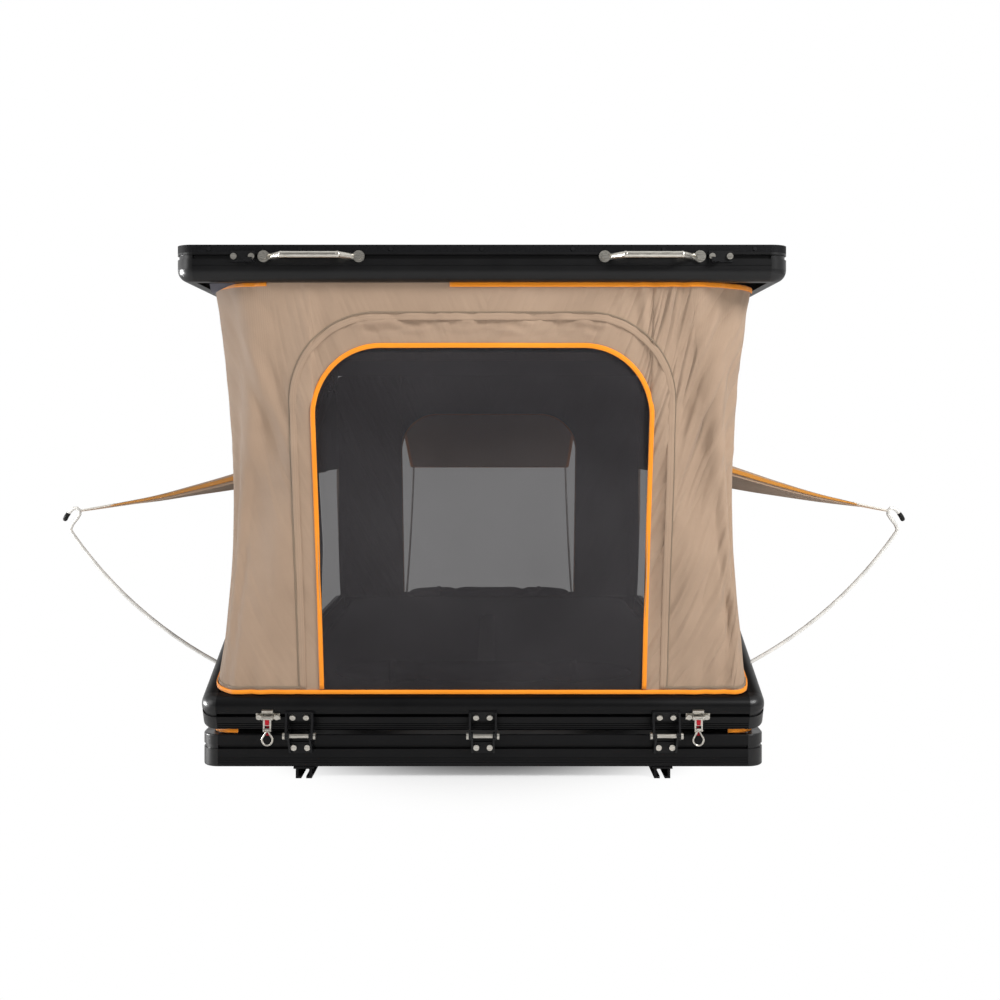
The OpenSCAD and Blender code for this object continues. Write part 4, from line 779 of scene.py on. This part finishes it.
def lower_columns(d):
    """Points of the lower wall, from its right front end round the rear to its left front end."""
    right = [[lower_at(1, k, lower_share(k, j), d) for j in LO_J] for k in LO_K[:0:-1]]
    left = [[lower_at(-1, k, lower_share(k, j), d) for j in LO_J] for k in LO_K]
    return right + left


def lower_hole(i, j):
    """Whether a cell is in the rear window or a side window."""
    c = i - FORE_COL * FINE_K
    k = (c if c >= 0 else -c - 1) // FINE_K
    r = j // FINE_J
    return LO_ROWS[1] <= r < LO_ROWS[2] and (k < REAR_COLS or SIDE_COL <= k < SIDE_END)


def on_base(obj, material, replaces=(), slot=None):
    """A piece of the lower wall: it rides on the tray."""
    put(obj, "base", material, replaces)
    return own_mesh(obj)


rear_wall = face_out(grid_piece("lower_wall", lower_columns(0), lambda i, j: not lower_hole(i, j)))
lower_net = grid_piece("lower_net", lower_columns(NET_IN), lower_hole)
on_base(rear_wall, LINED, ["lower_canvas"], "canvas")
on_base(lower_net, OPEN_MESH, ["lower_mesh"], "mesh")


def rear_at(x, z, d):
    """A point of the rear wall by its place across and up."""
    w = clamp((z - TRAY_TOP) / (ring_low(TOP_REAR) - TRAY_TOP))
    k = REAR_COLS * math.degrees(math.asin(clamp(abs(x) / WINDOW_HALF))) / 90
    p = lower_at(1, k, w, d)
    return np.array([x, p[1], p[2]])


places = arch_path(WINDOW_HALF + 2, SILL_Z + WINDOW_H + 2, WINDOW_R, SILL_Z)
path = [rear_at(x, z, 0) for x, z in places]
window_binding = strip_piece("window_binding", path, [(0, 1, 0)] * len(places), 13, 4)
on_base(window_binding, BINDING)


def roll_piece(name, middle, half, r, seed):
    """A rolled panel lying across, drawn in at its two ties, with the spiral of its edge along it."""
    steps, around = 90, 28
    columns = []
    for i in range(steps + 1):
        u = 2 * i / steps - 1
        tie = math.exp(-((abs(u) - 0.42) / 0.05) ** 2)
        size = r * math.sqrt(max(0.05, 1 - u ** 8)) * (1 - 0.28 * tie)
        ring = []
        for q in range(around + 1):
            a = 2 * math.pi * q / around
            lay = 1 + 0.06 * noise.noise((u * 9, math.cos(a) * 1.4, math.sin(a) * 1.4 + seed))
            step = 1.0 - 0.07 * ((q / around + 0.1 * u) % 1.0)
            ring.append((middle[0] + u * half, middle[1] + size * lay * step * math.cos(a),
                         middle[2] + size * lay * step * math.sin(a)))
        columns.append(ring)
    return grid_piece(name, columns)


ROLL_R, ROLL_DRAWN_R, TIE_X, TIE_W, TIE_T = 26.0, 24.0, 203.0, 14.0, 2.2
front_lean = math.atan2(LOW_FRONT[0] - TOP_FRONT, ROOF_LOW - LOW_FRONT[1])
rear_lean = math.atan2(LOW_REAR - TOP_REAR, ring_low(TOP_REAR) - TRAY_TOP)
seat = upper_at(1, 0, 0.05, 2)
seat[1] += (ROLL_R + 1) / math.cos(front_lean)
door_roll = roll_piece("door_roll", seat, DOOR_HALF - ROLL_R, ROLL_DRAWN_R, 1.0)
on_middle(door_roll, ROLLED)
seat = rear_at(0, SILL_Z, 2)
seat[1] -= (ROLL_R + 1) / math.cos(rear_lean)
window_roll = roll_piece("window_roll", seat, WINDOW_HALF - ROLL_R, ROLL_DRAWN_R, 5.0)
on_base(window_roll, ROLLED)

# Webbing ties round the two rolls
for roll, name, on_body in ((door_roll, "door_tie_", on_middle), (window_roll, "window_tie_", on_base)):
    middle = np.mean([1000 * v.co for v in roll.data.vertices], axis=0)
    for side, label in ((-1, "left"), (1, "right")):
        turns = [2 * math.pi * q / 32 for q in range(33)]
        outs = [np.array([0, math.cos(a), math.sin(a)]) for a in turns]
        ring = [middle + np.array([side * TIE_X, 0, 0]) + (ROLL_DRAWN_R + 0.2) * out for out in outs]
        on_body(strip_piece(name + label, ring, outs, TIE_W, TIE_T), WEBBING)

# Awning rods, as the solids have them
SIDE_ROD_L, SIDE_A0, SIDE_A1, SIDE_ROD_Y, SIDE_UP, SIDE_BACK = 475.0, 27.0, 54.0, 196.0, 4.0, 33.0
REAR_ROD_L, REAR_A0, REAR_A1 = 695.0, 35.0, 64.0
ROD_R, ROD_PLAY, AWNING_T, AWNING_SAG = 4.5, 0.3, 2.0, 10.0
CROOK_IN, CROOK_UP, REAR_UP, REAR_IN, FLAP_OVER = 19.0, 52.0, 17.0, 8.0, 22.0


def rod_arc(length, a0, a1, t):
    """Out and up along a rod bent between two angles."""
    r = length / math.radians(a1 - a0)
    a = mix(a0, a1, t)
    return r * (sin_d(a) - sin_d(a0)), r * (cos_d(a0) - cos_d(a))


side_foot = mid_open((SIDE_ROD_Y - HALF_L, MID_Z + MID_SLOT + SIDE_UP))
side_end = rod_arc(SIDE_ROD_L, SIDE_A0, SIDE_A1, 1)
ROD_BEND = np.array([HALF_W + side_end[0], side_foot[0] + SIDE_BACK, side_foot[1] + side_end[1]])
CROOK_SEAT = ROD_BEND + np.array([-CROOK_IN - ROD_R - ROD_PLAY, 0, CROOK_UP])
WIN_COLS = FAR_COL - NEAR_COL


def side_awning_at(side, u, t, up=0.0):
    """A point of a side awning: u runs from its front edge to its rear edge, t from the wall to the rod."""
    k = NEAR_COL + WIN_COLS * u
    root = upper_at(side, k, split_shares(k)[1], -CLOTH_GAP - AWNING_T)
    tip = np.array([side, 1, 1]) * CROOK_SEAT + np.array([0, 8 * (u - 0.5), 0])
    sag = AWNING_SAG * sin_d(180 * t) * (0.7 + 0.3 * sin_d(180 * u))
    ripple = 2.5 * noise.noise((u * 5, t * 3, side * 4.0)) * sin_d(180 * t)
    # The right awning's front corner is sewn a little higher
    lift = 18 * (1 - t) * (1 - u) if side > 0 else 0
    return mix(root, tip, t) + np.array([0, 0, up - sag + ripple + lift])


def on_rod(obj, side, material, replaces=()):
    """A piece of a side awning, with its finish and the solids that it stands for."""
    dress(obj, material)
    root = side_awning_at(side, 0.5, 0)
    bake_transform(obj)
    if replaces:
        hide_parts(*replaces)
    return obj


# Cells of an awning, steps along its front edge, those with tape and where its loop starts
AWNING_COLS, AWNING_ROWS, HEM_STEPS, TAPE_STEPS, LOOP_START = 40, 36, 48, 40, 38
HEM_OUT, HEM_ABOVE, HEM_BELOW, HEM_ROWS, TAPE_BELOW = 1.5, 4.0, 18.0, 3, 7.0
for side, name in ((-1, "left"), (1, "right")):
    columns = [[side_awning_at(side, i / AWNING_COLS, j / AWNING_ROWS, AWNING_T)
                for j in range(AWNING_ROWS + 1)] for i in range(AWNING_COLS + 1)]
    cloth = grid_piece("side_awning_" + name, columns)
    on_rod(cloth, side, CANVAS, ["side_awnings"])
    path = [side_awning_at(side, 0.0, j / HEM_STEPS, 0.0) for j in range(HEM_STEPS + 1)]
    band = [path[j] - np.array([0, HEM_OUT, TAPE_BELOW * (1 - j / HEM_STEPS)]) for j in range(TAPE_STEPS)]
    tape = strip_piece("awning_binding_" + name, band, [(0, -0.9, 0.44)] * len(band), 13, 2.4, wide_end=4)
    on_rod(tape, side, SHADED_AWNING_TAPE)
    end = path[LOOP_START:]
    loop = strip_piece("awning_loop_" + name, end, [(0, -0.8, 0.6)] * len(end), 4, 3)
    on_rod(loop, side, ELASTIC)
    columns = []
    for j, p in enumerate(path):
        drops = [mix(-HEM_ABOVE, HEM_BELOW, q / HEM_ROWS) for q in range(HEM_ROWS + 1)]
        columns.append([p - np.array([0, HEM_OUT, drop * (1.12 - j / HEM_STEPS)]) for drop in drops])
    hem = grid_piece("awning_hem_" + name, columns)
    on_rod(hem, side, CANVAS)

rear_end = rod_arc(REAR_ROD_L, REAR_A0, REAR_A1, 1)
ROD_TIP = np.array([WINDOW_HALF - REAR_IN, HALF_L + rear_end[0], MOUNT_H + TRAY_SLOT + REAR_UP + rear_end[1]])
flap_share = (SILL_Z + WINDOW_H + FLAP_OVER - TRAY_TOP) / (ring_low(TOP_REAR) - TRAY_TOP)
FLAP_ROOT = lower_at(1, 0, flap_share, -CLOTH_GAP)
flap_slope = (FLAP_ROOT[2] - ROD_TIP[2]) / (ROD_TIP[1] - FLAP_ROOT[1])
rod_rise = ROD_PLAY + ROD_R * (cos_d(REAR_A1) - flap_slope * sin_d(REAR_A1))
FLAP_EDGE = np.array([0, ROD_TIP[1], ROD_TIP[2] + rod_rise])


def flap_at(x, t, up=0.0):
    """A point of the rear awning: t runs from the wall to the rods."""
    sag = AWNING_SAG * sin_d(180 * t) * (1 - (x / WINDOW_HALF) ** 2)
    ripple = 2.5 * noise.noise((x / 130, t * 4, 2.0)) * sin_d(180 * t)
    return mix(FLAP_ROOT, FLAP_EDGE, t) + np.array([x, 0, up - sag + ripple])


def on_rear_rods(obj, material, replaces=()):
    """A piece of the rear awning, with its finish and the solids that it stands for."""
    dress(obj, material)
    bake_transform(obj)
    if replaces:
        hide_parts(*replaces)
    return obj


FLAP_COLS, FLAP_ROWS, FLAP_STEPS = 60, 44, 40
columns = [[flap_at(WINDOW_HALF * (2 * i / FLAP_COLS - 1), j / FLAP_ROWS, AWNING_T)
            for j in range(FLAP_ROWS + 1)] for i in range(FLAP_COLS + 1)]
flap = grid_piece("rear_flap", columns)
on_rear_rods(flap, CANVAS, ["rear_awning"])
shares = [q / FLAP_STEPS for q in range(FLAP_STEPS + 1)]
edge = [flap_at(-WINDOW_HALF, t) for t in shares]
edge += [flap_at(WINDOW_HALF * (2 * t - 1), 1) for t in shares[1:-1]]
edge += [flap_at(WINDOW_HALF, 1 - t) for t in shares]
flap_tape = strip_piece("flap_binding", edge, [(0, 0, 1)] * len(edge), 13, 4)
on_rear_rods(flap_tape, BINDING)

# Mattress: foam in a woven cover, swollen a little between its edges
BED_Z, BED_T, BED_CLEAR, BED_R = MOUNT_H + 16, 60.0, 47.0, 60.0


def bed_outline(inset, count=96):
    """The mattress' rounded outline, drawn in by inset, in even steps."""
    w, l, r = IN_W - BED_CLEAR - inset, IN_L - BED_CLEAR - inset, max(BED_R - inset, 8.0)
    ring = []
    for q, (sx, sy) in enumerate(((1, 1), (-1, 1), (-1, -1), (1, -1))):
        for i in range(9):
            a = 90 * q + 90 * i / 8
            ring.append((sx * (w - r) + r * cos_d(a), sy * (l - r) + r * sin_d(a)))
    ring = np.array(ring + ring[:1])
    along = np.concatenate([[0], np.cumsum(np.linalg.norm(np.diff(ring, axis=0), axis=1))])
    at = np.linspace(0, along[-1], count + 1)
    return np.stack([np.interp(at, along, ring[:, 0]), np.interp(at, along, ring[:, 1])], axis=1)


# Share of the thickness and inset in millimetres of each ring, from the floor to the middle of the top
BED_LEVELS = ((0, 10), (0.06, 4), (0.2, 0.5), (0.5, -1), (0.8, 1), (0.93, 5), (0.99, 12), (1.03, 26),
              (1.06, 60), (1.08, 130), (1.09, 240), (1.095, 400), (1.095, 520))
BED_LIFT, BED_RIPPLE = 0.4, 2.0
columns = []
for share, inset in BED_LEVELS:
    ripple = BED_RIPPLE if share > 0.9 else 0
    columns.append([(x, y, BED_Z + BED_LIFT + BED_T * share + ripple * noise.noise((x / 150, y / 150, 4.0)))
                    for x, y in bed_outline(inset)])
bed = grid_piece("bed", columns)
put(bed, "base", BED, ["mattress"])


def tube_piece(name, path, radii, sides=14):
    """A round piece along a path, with a radius at each point and closed ends."""
    path = np.array(path, float)
    n = len(path)
    points = []
    for i in range(n):
        t = path[min(i + 1, n - 1)] - path[max(i - 1, 0)]
        t /= np.linalg.norm(t)
        u = np.cross(t, (0, 0, 1) if abs(t[2]) < 0.9 else (1, 0, 0))
        u /= np.linalg.norm(u)
        v = np.cross(t, u)
        angles = [2 * math.pi * q / sides for q in range(sides)]
        points += [path[i] + radii[i] * (u * math.cos(a) + v * math.sin(a)) for a in angles]
    return mesh_piece(name, points, tube_faces(n, sides))


# Rubber caps on the crooks of the side rods: places out and up from the rod's bend, and radii
CAP_LINE, CAP_RADII = ((7, 46), (12, 39), (16, 31), (17.5, 28)), (5.2, 5.6, 5.6, 3.5)
for side, name in ((-1, "left"), (1, "right")):
    path = [np.array([side, 1, 1]) * (ROD_BEND + np.array([x, 0, z])) for x, z in CAP_LINE]
    put(tube_piece("rod_cap_" + name, path, CAP_RADII), f"side_rod_{name}_body", RUBBER)

# Red safety catches of the latches, in the levers' own directions
LATCH_X, LATCH_OUT, LATCH_UP = 476.0, 12.0, 2.0
front_pivot = mid_open((-HALF_L - LATCH_OUT, MID_Z + MID_SLOT + LATCH_UP))
rear_pivot = (HALF_L + LATCH_OUT, MOUNT_H + TRAY_SLOT + LATCH_UP)
# Height, distance out and half width of the catch, from its root down to its tongue
CATCH = ((-2, 2.6, 4.6), (-12, 2.6, 4.6), (-15.5, 2.2, 4.0), (-17, -4, 3.4), (-19, -6.4, 3.2),
         (-30, -6.6, 3.0), (-38, -5.6, 4.2), (-40, -5.4, 3.0))
CATCH_T = 1.0


def catch_piece(name, side, pivot, out):
    """A plate between the lever's legs with a bent tongue behind the loop."""
    points = []
    for up, away, half in CATCH:
        for x, t in ((-half, 0), (half, 0), (half, -CATCH_T), (-half, -CATCH_T)):
            points.append((side * LATCH_X + x, pivot[0] + out * (away + t), pivot[1] + up))
    return mesh_piece(name, points, tube_faces(len(CATCH), 4), smooth=False)


for side, name in ((-1, "left"), (1, "right")):
    put(catch_piece("front_catch_" + name, side, front_pivot, -1), f"front_lever_{name}_body", RED)
    put(catch_piece("rear_catch_" + name, side, rear_pivot, 1), f"rear_lever_{name}_body", RED)

# Orange edge of the lower wall, showing at the front corners between the tray and the ring
CORNER_LINE = ((548, -1106), (570, -1105), (585, -1101), (597, -1092), (604, -1078), (607, -1062))
for side, name in ((-1, "left"), (1, "right")):
    path = [(side * x, y, TRAY_TOP + 1.5) for x, y in CORNER_LINE]
    on_base(strip_piece("corner_edge_" + name, path, [(0, 0, 1)] * len(path), 9, 12), BINDING)

# Folded end of the wall under the roof's left corner
fold_points = [(-565, -1300, 1081), (-506, -1306, 1081), (-522, -1306, 1076), (-545, -1302, 1066),
               (-557, -1298, 1059), (-563, -1296, 1064)]
corner_fold = mesh_piece("corner_fold", fold_points, [(0, 1, 2, 3, 4, 5)], smooth=False)
on_middle(corner_fold, FOLD_CLOTH)


# Finishes of the solids
FINISHES = {"roof_skin": SHEET, "floor_panel": PANEL, "roof_panel": PANEL, "roof_rivets": HARDWARE,
            "mounting_rails": BLACK, "lid_handles": STAINLESS, "mid_handles": STAINLESS,
            "lid_keepers": HARDWARE, "mid_keepers": HARDWARE}
for ring, coat in (("tray", BLACK), ("mid", BLACK), ("lid", ROOF_COAT)):
    FINISHES[ring + "_end_rails"] = coat
    FINISHES[ring + "_side_rails"] = coat
    FINISHES[ring + "_corners"] = CAST
    FINISHES[ring + "_bolts"] = STAINLESS
    FINISHES[ring + "_strut_brackets"] = HARDWARE
for end in ("front", "rear"):
    FINISHES[end + "_hinge_pins"] = STAINLESS
    FINISHES[end + "_hinge_lower_leaves"] = HARDWARE
    FINISHES[end + "_hinge_upper_leaves"] = HARDWARE
    FINISHES[end + "_latch_bases"] = STAINLESS
for side in ("left", "right"):
    for end in ("front", "rear"):
        FINISHES[f"{end}_lever_{side}"] = STAINLESS
        FINISHES[f"{end}_bail_{side}"] = STAINLESS
    FINISHES["side_rod_" + side] = DRAWN
    FINISHES["rear_rod_" + side] = DRAWN
    for level in ("lower", "upper"):
        FINISHES[f"{level}_strut_tube_{side}"] = GLOSS
        FINISHES[f"{level}_strut_rod_{side}"] = STAINLESS
for node, finish in FINISHES.items():
    dress(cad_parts[node], finish)

# Camera at the photo's place
lens = bpy.data.cameras.new("camera")
lens.lens, lens.sensor_width, lens.clip_end = 42.3, 36.0, 60.0
lens.shift_x, lens.shift_y = 0.004, -0.069
camera = bpy.data.objects.new("camera", lens)
camera.location = (0.029, -3.737, 0.775)
camera.rotation_euler = (math.radians(90), 0, 0)
scene.collection.objects.link(camera)
scene.camera = camera

# Pale floor and soft studio light


def pale_floor():
    """Matt pale paper: it keeps the part's shadow and runs out into the white backdrop around it."""
    material, tree, shader = finish_of("pale_paper_floor", Base_Color=(0.94, 0.94, 0.94, 1), Roughness=0.9)
    place = add(tree, "ShaderNodeNewGeometry").outputs["Position"]
    oval = (1.45, 0.8, 0)
    shares = add(tree, "ShaderNodeVectorMath", {"operation": "MULTIPLY"}, i0=place, i1=oval).outputs["Vector"]
    away = add(tree, "ShaderNodeVectorMath", {"operation": "LENGTH"}, i0=shares).outputs["Value"]
    far = add(tree, "ShaderNodeMapRange", {"interpolation_type": "SMOOTHSTEP"}, Value=away, From_Min=0.72,
              From_Max=1.12).outputs["Result"]
    ray = add(tree, "ShaderNodeLightPath").outputs["Is Camera Ray"]
    share = add(tree, "ShaderNodeMath", {"operation": "MULTIPLY"}, i0=far, i1=ray).outputs[0]
    white = add(tree, "ShaderNodeEmission", Color=(1, 1, 1, 1), Strength=1.0).outputs[0]
    both = add(tree, "ShaderNodeMixShader", i0=share, i1=shader.outputs[0], i2=white).outputs[0]
    tree.links.new(both, tree.nodes["Material Output"].inputs["Surface"])
    return material


FLOOR_HALF, FLOOR_NEAR, FLOOR_FAR = 30000, -9000, 40000
corners = [(-FLOOR_HALF, FLOOR_NEAR, 0), (FLOOR_HALF, FLOOR_NEAR, 0), (FLOOR_HALF, FLOOR_FAR, 0),
           (-FLOOR_HALF, FLOOR_FAR, 0)]
floor = mesh_piece("floor", corners, [(0, 1, 2, 3)], smooth=False)
floor.data.materials.append(pale_floor())
world = bpy.data.worlds.new("studio")
world.use_nodes = True
tree = world.node_tree
tree.nodes.clear()
ray = add(tree, "ShaderNodeLightPath")
soft = add(tree, "ShaderNodeBackground", Color=(1, 1, 1, 1), Strength=0.42).outputs[0]
white = add(tree, "ShaderNodeBackground", Color=(1, 1, 1, 1), Strength=1.0).outputs[0]
# Reflections see the bright sweep behind and beside the part, and a dim room in front of it
way = add(tree, "ShaderNodeTexCoord").outputs["Generated"]
depth = add(tree, "ShaderNodeSeparateXYZ", Vector=way).outputs["Y"]
sweep = add(tree, "ShaderNodeMapRange", Value=depth, From_Min=-0.75, From_Max=-0.1, To_Min=0.28, To_Max=1.0)
shown = add(tree, "ShaderNodeBackground", Color=(1, 1, 1, 1), Strength=sweep.outputs["Result"]).outputs[0]
plain = add(tree, "ShaderNodeMixShader", i0=ray.outputs["Is Glossy Ray"], i1=soft, i2=shown).outputs[0]
both = add(tree, "ShaderNodeMixShader", i0=ray.outputs["Is Camera Ray"], i1=plain, i2=white)
add(tree, "ShaderNodeOutputWorld", i0=both.outputs[0])
scene.world = world


def area_light(name, place, aim, size, power):
    """A soft box of the given size in metres, turned to its aim."""
    data = bpy.data.lights.new(name, "AREA")
    data.shape, data.size, data.size_y, data.energy = "RECTANGLE", size[0], size[1], power
    lamp = bpy.data.objects.new(name, data)
    lamp.location = place
    lamp.rotation_euler = (Vector(aim) - Vector(place)).to_track_quat("-Z", "Y").to_euler()
    scene.collection.objects.link(lamp)
    return lamp


area_light("key", (2.9, -3.8, 3.3), (0, -1.0, 0.6), (1.4, 1.2), 208)
area_light("fill", (-3.4, -3.0, 2.2), (0, -0.8, 0.6), (1.6, 2.4), 54)
# Strip at the left that only shows as a highlight on the castings
area_light("edge", (-4.2, -1.0, 0.3), (-0.6, -1.1, 0.1), (1.2, 0.5), 420).visible_diffuse = False
